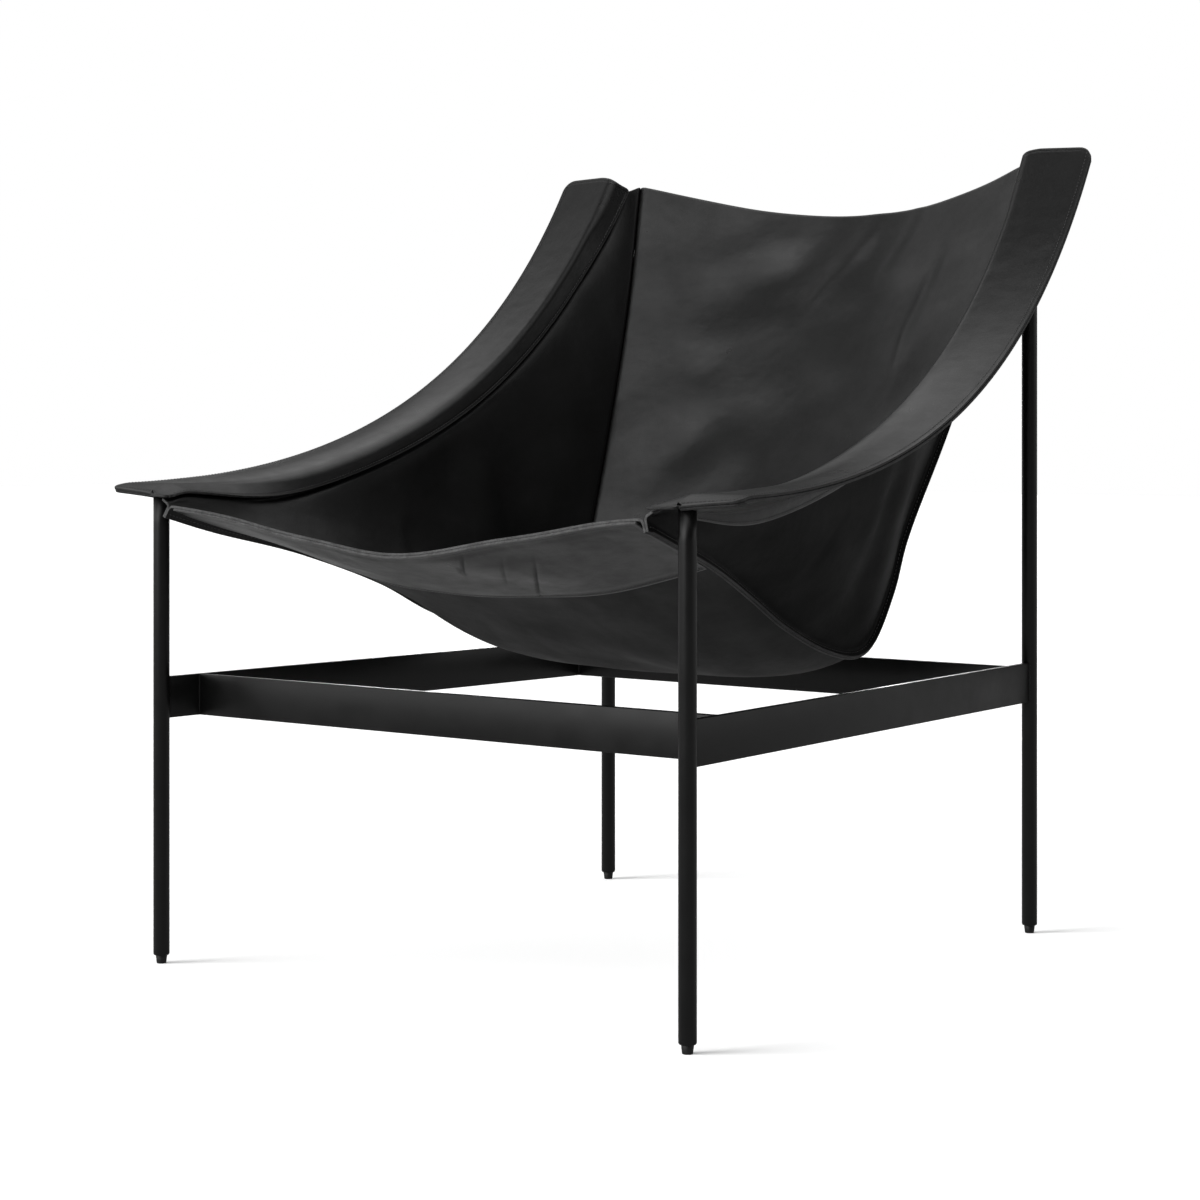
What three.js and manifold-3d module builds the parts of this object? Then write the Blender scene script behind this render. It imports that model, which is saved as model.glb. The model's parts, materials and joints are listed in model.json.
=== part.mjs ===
// Leather sling lounge chair: a welded steel frame carries a sewn leather sling on two arm rods.
// Millimetres, +X to the right seen from the front, +Y to the back, +Z up, origin under the middle.

import * as THREE from 'three';
import { mergeVertices } from 'three/addons/utils/BufferGeometryUtils.js';
import Module from 'manifold-3d';

// Legs: round bar, closer together at the back than at the front
const FRONT_LEG_SPACING = 642.6;
const REAR_LEG_SPACING = 556.6;
const LEG_DEPTH = 668.9;
const LEG_DIAMETER = 16;
const LEG_CHAMFER = 1.6;
const LEG_SEAT_DEPTH = 2;

// Rails: flat bar on edge, the side rails from leg to leg and the cross rails between them
const RAIL_HEIGHT = 41;
const RAIL_THICKNESS = 6;
const RAIL_TOP = 283;
const FRONT_RAIL_SETBACK = 49.2;
const REAR_RAIL_SETBACK = 51.9;

// Foot glides: tapered plugs with a stem in the leg's end
const GLIDE_HEIGHT = 8;
const GLIDE_SHOULDER_DIAMETER = 11.2;
const GLIDE_FOOT_DIAMETER = 9.6;
const GLIDE_EDGE = 0.8;
const GLIDE_STEM_DIAMETER = 7;
const GLIDE_STEM_LENGTH = 14;
const GLIDE_BORE_SPARE = 1;

// Arm line seen from the side: the top face of the arm flap, level in front and steep at the top
const ARM_FRONT_HEIGHT = 474;
const ARM_TOP_HEIGHT = 816;
const ARM_FRONT_OVERHANG = 10.6;
const ARM_TOP_OVERHANG = 6.6;
const ARM_FRONT_REACH = 257;
const ARM_TOP_REACH = 322;
const ARM_TOP_SLOPE = THREE.MathUtils.degToRad(59.7);
const ARM_ROD_DIAMETER = 8;
const ARM_ROD_INSET = 1.5;

// Leather
const LEATHER = 2.5;

// Arm flap: a top layer wrapped over the rod, and an under layer that closes its sleeve.
// The rise is how far the flap stands over the rod above its own outer edge, from the front to the top.
const FLAP_OVERHANG_FRONT = 60;
const FLAP_OVERHANG_TOP = 69.5;
const FLAP_CORNER_FRONT = 5;
const FLAP_CORNER_TOP = 12;
const FLAP_RISE = [1, -5, -0.5, 3.5, 6.5, 7];
const SKIRT_WIDTH_FRONT = 29;
const SKIRT_WIDTH = 25;
const SKIRT_FALL_FRONT = THREE.MathUtils.degToRad(14);
const SKIRT_FALL = THREE.MathUtils.degToRad(75);
const SKIRT_SETTLES_AT = 0.32;
const SKIRT_LAP = 6;
const UNDER_LAP = 14;
const UNDER_TURN = THREE.MathUtils.degToRad(60);

// The wrap is slacker at the top, where the rear leg's end is inside it
const TOP_SLACK = 5;
const TOP_SLACK_FROM = 0.88;
const TOP_SLACK_FULL = 0.96;

// Sewn seam between a side panel and the seat, from the front corner round the bottom to the back's top.
// Inset is measured in from the leg line. The seat's stations are measured from the arm's front end,
// back and down, and the back's stations from its top end, forward and down.
const SEAT_SEAM = [
  { inset: 33, back: -9, drop: 21 },
  { inset: 40, back: 48, drop: 43 },
  { inset: 60, back: 143, drop: 68 },
  { inset: 78, back: 237, drop: 103 },
  { inset: 82, back: 306, drop: 135 },
  { inset: 87, back: 390, drop: 162 },
  { inset: 92, back: 458, drop: 169 },
];
const BACK_SEAM = [
  { inset: 94, ahead: 195, drop: 500 },
  { inset: 92, ahead: 157, drop: 451 },
  { inset: 87, ahead: 139, drop: 401 },
  { inset: 67, ahead: 85, drop: 289 },
  { inset: 44, ahead: 25, drop: 151 },
  { inset: 20, ahead: -39, drop: 7 },
];
const SEAM_FLANGE = 9;
const SIDE_BULGE_RATE = 0.032;

// Seat and back: how far the middle of the sheet hangs out of the line between its two seams
const SEAT_SAG = [36, 35, 30, 27, 40, 60, 81];
const SAG_SHARPNESS = 1.5;
const SAG_BREADTH_FRONT = 1.35;
const SAG_BREADTH = 2.1;
const FRONT_EDGE_SCOOP = 12;
const BACK_EDGE_SCOOP = 13;
const EDGE_FADE = 0.16;
const FACING_DEPTH = 165;
const FACING_SPREAD = 0.95;

// Clearances
const WELD_GAP = 0.3;
const SEWN_GAP = 0.3;
const SLEEVE_GAP = 0.8;
const LAP_GAP = 0.8;
const UNDER_GAP = 1;
const STEM_GAP = 0.3;
const SLOT_GAP = 0.8;

// Facets
const ROUND_SIDES = 20;
const ROD_SIDES = 12;
const ROD_POINTS = 13;
const ROD_SAMPLES = 200;
const SLING_STEPS = 30;
const SEAT_COLUMNS = 11;
const SIDE_COLUMNS = 4;
const MITRE_LIMIT = 0.6;
const CORNER_PARTS = [0.2, 0.6];
const BESIDE_SEAM = 0.9;

const wasm = await Module();
wasm.setup();

// Closed meshes and their joins

// One position per corner, with no triangle that has lost its area
function welded(geometry) {
  const bare = geometry.clone();
  bare.deleteAttribute('normal');
  bare.deleteAttribute('uv');
  const merged = mergeVertices(bare);
  const corners = [];
  for (let i = 0; i < merged.index.count; i += 3) {
    const [a, b, c] = [0, 1, 2].map((k) => merged.index.getX(i + k));
    if (a !== b && b !== c && c !== a) corners.push(a, b, c);
  }
  merged.setIndex(corners);
  return merged;
}

function toManifold(geometry) {
  const mesh = welded(geometry);
  return new wasm.Manifold(new wasm.Mesh({
    numProp: 3,
    vertProperties: new Float32Array(mesh.attributes.position.array),
    triVerts: new Uint32Array(mesh.index.array),
  }));
}

function subtract(geometry, cutter) {
  const mesh = toManifold(geometry).subtract(toManifold(cutter)).getMesh();
  const result = new THREE.BufferGeometry();
  result.setAttribute('position', new THREE.BufferAttribute(new Float32Array(mesh.vertProperties), 3));
  result.setIndex(Array.from(mesh.triVerts));
  result.computeVertexNormals();
  return result;
}

// The same solid on the other side of the chair
function mirrored(geometry) {
  const other = welded(geometry);
  other.scale(-1, 1, 1);
  const corners = Array.from(other.index.array);
  for (let i = 0; i < corners.length; i += 3) {
    [corners[i + 1], corners[i + 2]] = [corners[i + 2], corners[i + 1]];
  }
  other.setIndex(corners);
  other.computeVertexNormals();
  return other;
}

// A grid of points moved along its own normals, far enough at a fold to keep the layer's thickness
function offsetGrid(grid, distance) {
  const lastRow = grid.length - 1;
  const lastColumn = grid[0].length - 1;
  const faceNormal = (i, j) => {
    const along = grid[i + 1][j + 1].clone().sub(grid[i][j]);
    const across = grid[i][j + 1].clone().sub(grid[i + 1][j]);
    return along.cross(across).normalize();
  };
  return grid.map((row, i) => row.map((point, j) => {
    const faces = [];
    for (const fi of [i - 1, i]) {
      for (const fj of [j - 1, j]) {
        if (fi >= 0 && fj >= 0 && fi < lastRow && fj < lastColumn) faces.push(faceNormal(fi, fj));
      }
    }
    const normal = faces.reduce((sum, face) => sum.add(face), new THREE.Vector3()).normalize();
    const spread = faces.reduce((sum, face) => sum + face.dot(normal), 0) / faces.length;
    return point.clone().addScaledVector(normal, distance / Math.max(spread, MITRE_LIMIT));
  }));
}

// The closed layer between two faces with the same rows and columns
function layerSolid(face, reverse) {
  const rows = face.length;
  const columns = face[0].length;
  const points = [...face.flat(), ...reverse.flat()];
  const corners = [];
  const at = (side, i, j) => side * rows * columns + i * columns + j;
  const quad = (a, b, c, d) => corners.push(a, b, c, a, c, d);
  for (let i = 0; i < rows - 1; i += 1) {
    for (let j = 0; j < columns - 1; j += 1) {
      quad(at(0, i, j), at(0, i + 1, j), at(0, i + 1, j + 1), at(0, i, j + 1));
      quad(at(1, i, j), at(1, i, j + 1), at(1, i + 1, j + 1), at(1, i + 1, j));
    }
  }
  for (let i = 0; i < rows - 1; i += 1) {
    quad(at(0, i, 0), at(1, i, 0), at(1, i + 1, 0), at(0, i + 1, 0));
    const j = columns - 1;
    quad(at(0, i, j), at(0, i + 1, j), at(1, i + 1, j), at(1, i, j));
  }
  for (let j = 0; j < columns - 1; j += 1) {
    quad(at(0, 0, j), at(0, 0, j + 1), at(1, 0, j + 1), at(1, 0, j));
    const i = rows - 1;
    quad(at(0, i, j), at(1, i, j), at(1, i, j + 1), at(0, i, j + 1));
  }
  const geometry = new THREE.BufferGeometry().setFromPoints(points);
  geometry.setIndex(corners);
  geometry.computeVertexNormals();
  return geometry;
}

// Frame lines

const legRadius = LEG_DIAMETER / 2;
const rodRadius = ARM_ROD_DIAMETER / 2;
const frontLegY = -LEG_DEPTH / 2;
const rearLegY = LEG_DEPTH / 2;
const legTaper = (FRONT_LEG_SPACING - REAR_LEG_SPACING) / 2 / LEG_DEPTH;

// Distance from the middle to the line through a side's two leg centres
function legLine(y) {
  return FRONT_LEG_SPACING / 2 - legTaper * (y - frontLegY);
}

const armFront = new THREE.Vector2(frontLegY - ARM_FRONT_OVERHANG, ARM_FRONT_HEIGHT);
const armTop = new THREE.Vector2(rearLegY + ARM_TOP_OVERHANG, ARM_TOP_HEIGHT);
const armLine = new THREE.CubicBezierCurve(
  armFront,
  new THREE.Vector2(armFront.x + ARM_FRONT_REACH, armFront.y),
  new THREE.Vector2(
    armTop.x - ARM_TOP_REACH * Math.cos(ARM_TOP_SLOPE),
    armTop.y - ARM_TOP_REACH * Math.sin(ARM_TOP_SLOPE),
  ),
  armTop,
);
const armLength = armLine.getLength();

// A point near the right arm: share of the arm's length, distance outboard of the leg line, height above
function armPoint(share, outboard, above) {
  const point = armLine.getPointAt(share);
  const tangent = armLine.getTangentAt(share);
  const y = point.x - tangent.y * above;
  const z = point.y + tangent.x * above;
  return new THREE.Vector3(legLine(y) + outboard, y, z);
}

const evenly = (values) => new THREE.SplineCurve(
  values.map((value, i) => new THREE.Vector2(i / (values.length - 1), value)),
);
const riseLine = evenly(FLAP_RISE);
const flapRise = (share) => riseLine.getPoint(share).y;
const flapOverhang = (share) => THREE.MathUtils.lerp(FLAP_OVERHANG_FRONT, FLAP_OVERHANG_TOP, share);
const skirtSettled = (share) => THREE.MathUtils.smoothstep(share, 0, SKIRT_SETTLES_AT);
const skirtFall = (share) => THREE.MathUtils.lerp(SKIRT_FALL_FRONT, SKIRT_FALL, skirtSettled(share));
const skirtWidth = (share) => THREE.MathUtils.lerp(SKIRT_WIDTH_FRONT, SKIRT_WIDTH, skirtSettled(share));

const sleeveRadius = rodRadius + SLEEVE_GAP;
const rodAbove = (share) => flapRise(share) - LEATHER - sleeveRadius;

// Radius of the flap's top face where it turns over the rod
function wrapRadius(share) {
  const slack = TOP_SLACK * THREE.MathUtils.smoothstep(share, TOP_SLACK_FROM, TOP_SLACK_FULL);
  return sleeveRadius + LEATHER + slack;
}

// A point round the rod: angle from straight up towards the inside, distance from the rod's centre
function roundRod(share, angle, radius) {
  return armPoint(share, -radius * Math.sin(angle), rodAbove(share) + radius * Math.cos(angle));
}

// A point of the flap's turn over the rod, from its top, share 0, to the start of the skirt, share 1
function turnPoint(share, part) {
  const wrap = wrapRadius(share);
  const angle = part * skirtFall(share);
  return armPoint(share, -wrap * Math.sin(angle), flapRise(share) - wrap * (1 - Math.cos(angle)));
}

// A point on the skirt: distance down the leather from the top of the rod, depth below its top face
function skirtPoint(share, down, depth) {
  const fall = skirtFall(share);
  const wrap = wrapRadius(share);
  const straight = down - wrap * fall;
  const radius = wrap - depth;
  return armPoint(
    share,
    -radius * Math.sin(fall) - straight * Math.cos(fall),
    flapRise(share) - wrap + radius * Math.cos(fall) - straight * Math.sin(fall),
  );
}

// Arm rod, longer and thicker where it is used to cut its seat in a leg

const rodPoints = Array.from({ length: ROD_POINTS }, (_, i) => {
  const along = THREE.MathUtils.lerp(ARM_ROD_INSET, armLength - ARM_ROD_INSET, i / (ROD_POINTS - 1));
  const share = along / armLength;
  return armPoint(share, 0, rodAbove(share));
});

function rodPath(spare) {
  const [first, second] = rodPoints;
  const [last, nextToLast] = [rodPoints.at(-1), rodPoints.at(-2)];
  if (spare === 0) return new THREE.CatmullRomCurve3(rodPoints);
  const front = first.clone().addScaledVector(first.clone().sub(second).normalize(), spare);
  const top = last.clone().addScaledVector(last.clone().sub(nextToLast).normalize(), spare);
  return new THREE.CatmullRomCurve3([front, ...rodPoints, top]);
}

function rodGeometry(spareRadius, spareLength) {
  const radius = rodRadius + spareRadius;
  const section = new THREE.Shape();
  for (let i = 0; i < ROD_SIDES; i += 1) {
    const angle = (2 * Math.PI * i) / ROD_SIDES;
    const point = [radius * Math.cos(angle), radius * Math.sin(angle)];
    if (i === 0) section.moveTo(...point);
    else section.lineTo(...point);
  }
  section.closePath();
  const extrudePath = rodPath(spareLength);
  return new THREE.ExtrudeGeometry(section, { steps: SLING_STEPS, extrudePath, bevelEnabled: false });
}

// Height of the rod's centre at a distance back
function rodHeight(y) {
  const points = rodPath(0).getSpacedPoints(ROD_SAMPLES);
  const next = Math.max(1, points.findIndex((point) => point.y >= y));
  const [a, b] = [points[next - 1], points[next]];
  return THREE.MathUtils.mapLinear(y, a.y, b.y, a.z, b.z);
}

// Legs and glides

function turned(profile) {
  const geometry = new THREE.LatheGeometry(profile.map(([r, z]) => new THREE.Vector2(r, z)), ROUND_SIDES);
  geometry.rotateX(Math.PI / 2);
  return geometry;
}

const boreRadius = GLIDE_STEM_DIAMETER / 2 + STEM_GAP;
const boreTop = GLIDE_HEIGHT + GLIDE_STEM_LENGTH + GLIDE_BORE_SPARE;

// A leg's top is cut along the rod and takes it in a round seat
function legGeometry(y) {
  const seat = rodHeight(y);
  const slope = Math.atan2(seat - rodHeight(y - legRadius), legRadius);
  const top = seat + LEG_DIAMETER;
  const bar = turned([
    [0, boreTop],
    [boreRadius, boreTop],
    [boreRadius, GLIDE_HEIGHT],
    [legRadius - LEG_CHAMFER, GLIDE_HEIGHT],
    [legRadius, GLIDE_HEIGHT + LEG_CHAMFER],
    [legRadius, top],
    [0, top],
  ]);
  const block = 4 * LEG_DIAMETER;
  const above = new THREE.BoxGeometry(block, block, block);
  above.translate(0, 0, block / 2 - LEG_SEAT_DEPTH);
  above.rotateX(slope);
  above.translate(0, 0, seat);
  const rod = rodGeometry(WELD_GAP, LEG_DIAMETER);
  rod.translate(-legLine(y), -y, 0);
  return subtract(subtract(bar, above), rod);
}

function glideGeometry() {
  const shoulder = GLIDE_HEIGHT - STEM_GAP;
  const stemTop = shoulder + GLIDE_STEM_LENGTH;
  return turned([
    [0, 0],
    [GLIDE_FOOT_DIAMETER / 2 - GLIDE_EDGE, 0],
    [GLIDE_FOOT_DIAMETER / 2, GLIDE_EDGE],
    [GLIDE_SHOULDER_DIAMETER / 2, shoulder],
    [GLIDE_STEM_DIAMETER / 2, shoulder],
    [GLIDE_STEM_DIAMETER / 2, stemTop],
    [0, stemTop],
  ]);
}

// Rails

function barGeometry(corners) {
  const outline = new THREE.Shape(corners.map(([x, y]) => new THREE.Vector2(x, y)));
  return new THREE.ExtrudeGeometry(outline, { depth: RAIL_HEIGHT, bevelEnabled: false });
}

const sideAngle = Math.atan(legTaper);

// Along the leg line, its square ends against the two legs
function sideRailGeometry() {
  const half = RAIL_THICKNESS / 2;
  const run = Math.hypot(LEG_DEPTH, (FRONT_LEG_SPACING - REAR_LEG_SPACING) / 2);
  const end = legRadius + WELD_GAP;
  const rail = barGeometry([[-half, end], [half, end], [half, run - end], [-half, run - end]]);
  rail.rotateZ(sideAngle);
  rail.translate(legLine(frontLegY), frontLegY, 0);
  return rail;
}

// Across, its ends cut to the slant of the side rails
function crossRailGeometry(y) {
  const reach = (at) => legLine(at) - (RAIL_THICKNESS / 2 + WELD_GAP) / Math.cos(sideAngle);
  const [front, back] = [y - RAIL_THICKNESS / 2, y + RAIL_THICKNESS / 2];
  return barGeometry([
    [-reach(front), front],
    [reach(front), front],
    [reach(back), back],
    [-reach(back), back],
  ]);
}

// Sling lines on the right side

// Stations along the sling, closer together round the flap's corners
const cornerStations = CORNER_PARTS.flatMap((k) => [
  (k * FLAP_CORNER_FRONT) / armLength,
  1 - (k * FLAP_CORNER_TOP) / armLength,
]);
const evenStations = Array.from({ length: SLING_STEPS + 1 }, (_, i) => i / SLING_STEPS);
const stations = [...evenStations, ...cornerStations].sort((a, b) => a - b);

const seamLine = new THREE.CatmullRomCurve3([
  ...SEAT_SEAM.map(({ inset, back, drop }) => {
    const y = armFront.x + back;
    return new THREE.Vector3(legLine(y) - inset, y, armFront.y - drop);
  }),
  ...BACK_SEAM.map(({ inset, ahead, drop }) => {
    const y = armTop.x - ahead;
    return new THREE.Vector3(legLine(y) - inset, y, armTop.y - drop);
  }),
]);

// The flap's outer edge, rounded in at both ends
function flapReach(share) {
  const radius = share < 0.5 ? FLAP_CORNER_FRONT : FLAP_CORNER_TOP;
  const toEnd = Math.min(share, 1 - share) * armLength;
  const inside = Math.max(0, radius - toEnd);
  return flapOverhang(share) - radius + Math.sqrt(radius ** 2 - inside ** 2);
}

// From the outer edge up to the rod, round it and down the skirt
function flapTopGeometry() {
  const face = stations.map((share) => {
    const reach = flapReach(share);
    const rise = flapRise(share);
    const turn = wrapRadius(share) * skirtFall(share);
    const width = skirtWidth(share);
    return [
      ...[1, 2 / 3, 1 / 3, 0].map((k) => armPoint(share, reach * k, rise * (1 - k))),
      ...[1 / 3, 2 / 3, 1].map((k) => turnPoint(share, k)),
      skirtPoint(share, (turn + width) / 2, 0),
      skirtPoint(share, width, 0),
    ];
  });
  return layerSolid(face, offsetGrid(face, -LEATHER));
}

// From the outer edge in under the rod, then down the outside of the side panel's top
function flapUnderGeometry() {
  const hug = sleeveRadius / Math.cos(UNDER_TURN / 2);
  const outside = offsetGrid(panelGrid(), -LEATHER / 2 - UNDER_GAP);
  const face = stations.map((share, i) => {
    const outer = armPoint(share, flapReach(share), -LEATHER - SEWN_GAP);
    const besideRod = roundRod(share, Math.PI + UNDER_TURN, hug);
    const [lap, groove, below] = outside[i];
    const end = groove.clone().lerp(below, Math.min(UNDER_LAP / groove.distanceTo(below), 1));
    return [
      outer,
      outer.clone().lerp(besideRod, 1 / 2),
      besideRod,
      roundRod(share, Math.PI, hug),
      lap,
      groove,
      end,
    ];
  });
  const sheet = layerSolid(face, offsetGrid(face, -LEATHER));
  return [frontLegY, rearLegY].reduce((layer, y) => subtract(layer, legSlot(y)), sheet);
}

// Room for a leg in the leather beside it, open at the leather's end
function legSlot(y) {
  const half = legRadius + SLOT_GAP;
  const outline = new THREE.Shape();
  outline.absarc(0, 0, half, 0, Math.PI);
  outline.lineTo(-half, -LEG_DIAMETER * 2);
  outline.lineTo(half, -LEG_DIAMETER * 2);
  const slot = new THREE.ExtrudeGeometry(outline, { depth: ARM_TOP_HEIGHT, bevelEnabled: false });
  if (y > 0) slot.rotateZ(Math.PI);
  slot.translate(legLine(y), y, 0);
  return slot;
}

const sagLine = evenly(SEAT_SAG);

// A point of the seat and back sheet: share of the seam's length, share of the half width
function seatPoint(share, across) {
  const seam = seamLine.getPointAt(share);
  const tangent = seamLine.getTangentAt(share);
  const sag = sagLine.getPoint(share).y;
  const atFront = Math.max(0, 1 - share / EDGE_FADE);
  const atBack = Math.max(0, 1 - (1 - share) / EDGE_FADE);
  const breadth = THREE.MathUtils.lerp(SAG_BREADTH, SAG_BREADTH_FRONT, atFront);
  const swell = (1 - Math.abs(across) ** breadth) ** SAG_SHARPNESS;
  const slide = (FRONT_EDGE_SCOOP * atFront - BACK_EDGE_SCOOP * atBack) * swell;
  const out = new THREE.Vector2(tangent.z, -tangent.y).normalize().multiplyScalar(sag * swell);
  return new THREE.Vector3(
    seam.x * across,
    seam.y + out.x + tangent.y * slide,
    seam.z + out.y + tangent.z * slide,
  );
}

// Where the two layers of the seam lie: the sheet's own fold line and the tip of its flange
const seamDepth = LEATHER + LAP_GAP + LEATHER / 2;
const groovePoint = (share) => skirtPoint(share, skirtWidth(share), seamDepth);

function seamFold(share) {
  const seam = seamLine.getPointAt(share);
  const tangent = seamLine.getTangentAt(share);
  const square = (vector) => vector.addScaledVector(tangent, -vector.dot(tangent)).normalize();
  const toSeat = square(seatPoint(share, BESIDE_SEAM).sub(seam));
  const toArm = square(groovePoint(share).sub(seam));
  const flange = toSeat.clone().add(toArm).normalize().negate();
  const apart = toSeat.clone().addScaledVector(flange, -toSeat.dot(flange)).normalize();
  apart.multiplyScalar((LEATHER + SEWN_GAP) / 2);
  const pair = (shift) => {
    const fold = seam.clone().add(shift);
    return { fold, tip: fold.clone().addScaledVector(flange, SEAM_FLANGE) };
  };
  return { seat: pair(apart), side: pair(apart.clone().negate()) };
}

const acrossX = (point) => new THREE.Vector3(-point.x, point.y, point.z);

const seatColumns = Array.from({ length: SEAT_COLUMNS }, (_, i) => {
  const edge = 1 - 1 / SEAT_COLUMNS;
  return THREE.MathUtils.lerp(-edge, edge, i / (SEAT_COLUMNS - 1));
});

function seatGrid() {
  return stations.map((share) => {
    const { fold, tip } = seamFold(share).seat;
    const middle = seatColumns.map((across) => seatPoint(share, across));
    return [acrossX(tip), acrossX(fold), ...middle, fold, tip];
  });
}

function sheetSolid(grid) {
  return layerSolid(offsetGrid(grid, LEATHER / 2), offsetGrid(grid, -LEATHER / 2));
}

// A second layer sewn under the seat's front edge
function facingGeometry() {
  const columns = seatColumns.filter((across) => Math.abs(across) < FACING_SPREAD);
  const row = (share) => columns.map((across) => seatPoint(share, across));
  const last = FACING_DEPTH / seamLine.getLength();
  const next = stations.findIndex((share) => share > last);
  const [before, after] = [stations[next - 1], stations[next]];
  const behind = row(after);
  const part = (last - before) / (after - before);
  const end = row(before).map((point, i) => point.lerp(behind[i], part));
  const grid = [...stations.slice(0, next).map(row), end];
  const inner = LEATHER / 2 + LAP_GAP;
  return layerSolid(offsetGrid(grid, inner + LEATHER), offsetGrid(grid, inner));
}

// A point of the side panel, from the groove under the skirt, down 0, to its seam, down 1
function panelPoint(share, down) {
  const groove = groovePoint(share);
  const { fold } = seamFold(share).side;
  const bulge = SIDE_BULGE_RATE * groove.distanceTo(fold);
  const point = groove.lerp(fold, down);
  point.x += bulge * 4 * down * (1 - down);
  return point;
}

function panelGrid() {
  const downs = Array.from({ length: SIDE_COLUMNS }, (_, i) => (i + 1) / (SIDE_COLUMNS + 1));
  return stations.map((share) => {
    const lap = skirtPoint(share, skirtWidth(share) - SKIRT_LAP, seamDepth);
    const { fold, tip } = seamFold(share).side;
    return [lap, groovePoint(share), ...downs.map((down) => panelPoint(share, down)), fold, tip];
  });
}

// Assembly

const chair = new THREE.Group();

const FINISH = {
  frame: { color: 0x151515, roughness: 0.5, metalness: 0.3 },
  glide: { color: 0x0c0c0c, roughness: 0.6, metalness: 0 },
  leather: { color: 0x1c1c1c, roughness: 0.55, metalness: 0 },
};

function addPiece(name, geometry, finish, position = [0, 0, 0]) {
  const mesh = new THREE.Mesh(geometry, new THREE.MeshStandardMaterial(FINISH[finish]));
  mesh.name = name;
  mesh.position.set(...position);
  chair.add(mesh);
}

// A right-hand solid and its mirror image
function addPair(name, geometry, finish, position = [0, 0, 0]) {
  const [x, y, z] = position;
  addPiece(`${name}_right`, geometry, finish, position);
  addPiece(`${name}_left`, mirrored(geometry), finish, [-x, y, z]);
}

for (const [end, y] of [['front', frontLegY], ['rear', rearLegY]]) {
  addPair(`${end}_leg`, legGeometry(y), 'frame', [legLine(y), y, 0]);
  addPair(`${end}_glide`, glideGeometry(), 'glide', [legLine(y), y, 0]);
}

const railBottom = RAIL_TOP - RAIL_HEIGHT;
addPair('side_rail', sideRailGeometry(), 'frame', [0, 0, railBottom]);
addPiece('front_rail', crossRailGeometry(frontLegY + FRONT_RAIL_SETBACK), 'frame', [0, 0, railBottom]);
addPiece('rear_rail', crossRailGeometry(rearLegY - REAR_RAIL_SETBACK), 'frame', [0, 0, railBottom]);
addPair('arm_rod', rodGeometry(0, 0), 'frame');
addPair('flap_top', flapTopGeometry(), 'leather');
addPair('flap_under', flapUnderGeometry(), 'leather');
addPair('side_panel', subtract(sheetSolid(panelGrid()), legSlot(rearLegY)), 'leather');
addPiece('seat_and_back', sheetSolid(seatGrid()), 'leather');
addPiece('front_facing', facingGeometry(), 'leather');

// The origin stands on the floor under the middle of the whole chair
const extent = new THREE.Box3().setFromObject(chair);
chair.position.y = -(extent.min.y + extent.max.y) / 2;

export default chair;
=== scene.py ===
"""Leather sling lounge chair: sewn leather, thread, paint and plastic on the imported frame. Metres."""

import json
import math

import bmesh
import bpy
import numpy as np
from mathutils import Matrix, Vector

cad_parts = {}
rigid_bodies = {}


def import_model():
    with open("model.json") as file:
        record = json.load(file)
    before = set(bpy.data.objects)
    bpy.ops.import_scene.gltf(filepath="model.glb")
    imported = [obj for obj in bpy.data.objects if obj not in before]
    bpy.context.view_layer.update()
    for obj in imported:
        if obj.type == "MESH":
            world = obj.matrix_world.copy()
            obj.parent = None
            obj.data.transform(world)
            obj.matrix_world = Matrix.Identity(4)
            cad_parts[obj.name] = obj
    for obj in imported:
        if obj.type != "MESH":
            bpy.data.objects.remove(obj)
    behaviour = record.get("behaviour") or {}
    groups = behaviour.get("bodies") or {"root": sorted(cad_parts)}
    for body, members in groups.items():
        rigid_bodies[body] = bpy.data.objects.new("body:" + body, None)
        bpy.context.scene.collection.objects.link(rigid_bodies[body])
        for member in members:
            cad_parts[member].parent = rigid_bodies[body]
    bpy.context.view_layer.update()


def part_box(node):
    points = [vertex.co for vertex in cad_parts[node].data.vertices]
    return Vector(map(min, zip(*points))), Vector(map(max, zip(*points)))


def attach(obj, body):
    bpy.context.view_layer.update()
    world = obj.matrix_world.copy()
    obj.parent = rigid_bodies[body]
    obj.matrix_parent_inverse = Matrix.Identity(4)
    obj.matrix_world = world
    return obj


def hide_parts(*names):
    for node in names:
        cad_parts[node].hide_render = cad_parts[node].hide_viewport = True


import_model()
BODY = "root"
SIDES = {"right": 1, "left": -1}

# Leather and thread
LEATHER = 0.0025
SEWN_GAP = 0.0003
TOUCH_GAP = 0.00004
LAP_GAP = 0.0008
GROOVE_GAP = 0.0042
UNDER_GAP = 0.001
EDGE_BULGE = 0.0005

# Arm line seen from the side: the top face of the arm flap
ARM_FRONT_HEIGHT = 0.474
ARM_TOP_HEIGHT = 0.816
ARM_FRONT_OVERHANG = 0.0106
ARM_TOP_OVERHANG = 0.0066
ARM_FRONT_REACH = 0.257
ARM_TOP_REACH = 0.322
ARM_TOP_SLOPE = math.radians(59.7)
ARM_LEAD = 0.02
ARM_TRAIL = 0.008
ROD_RADIUS = 0.004
SLEEVE_GAP = 0.0008

# Arm's front end, bent down over the leg
FRONT_DROOP = 0.0037
FRONT_DIP = 0.0042
FRONT_LIFT = math.radians(9.5)
DIP_LENGTH = 0.022
DIP_SHARPNESS = 1.6
DIP_LIMIT = 1.35

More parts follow.
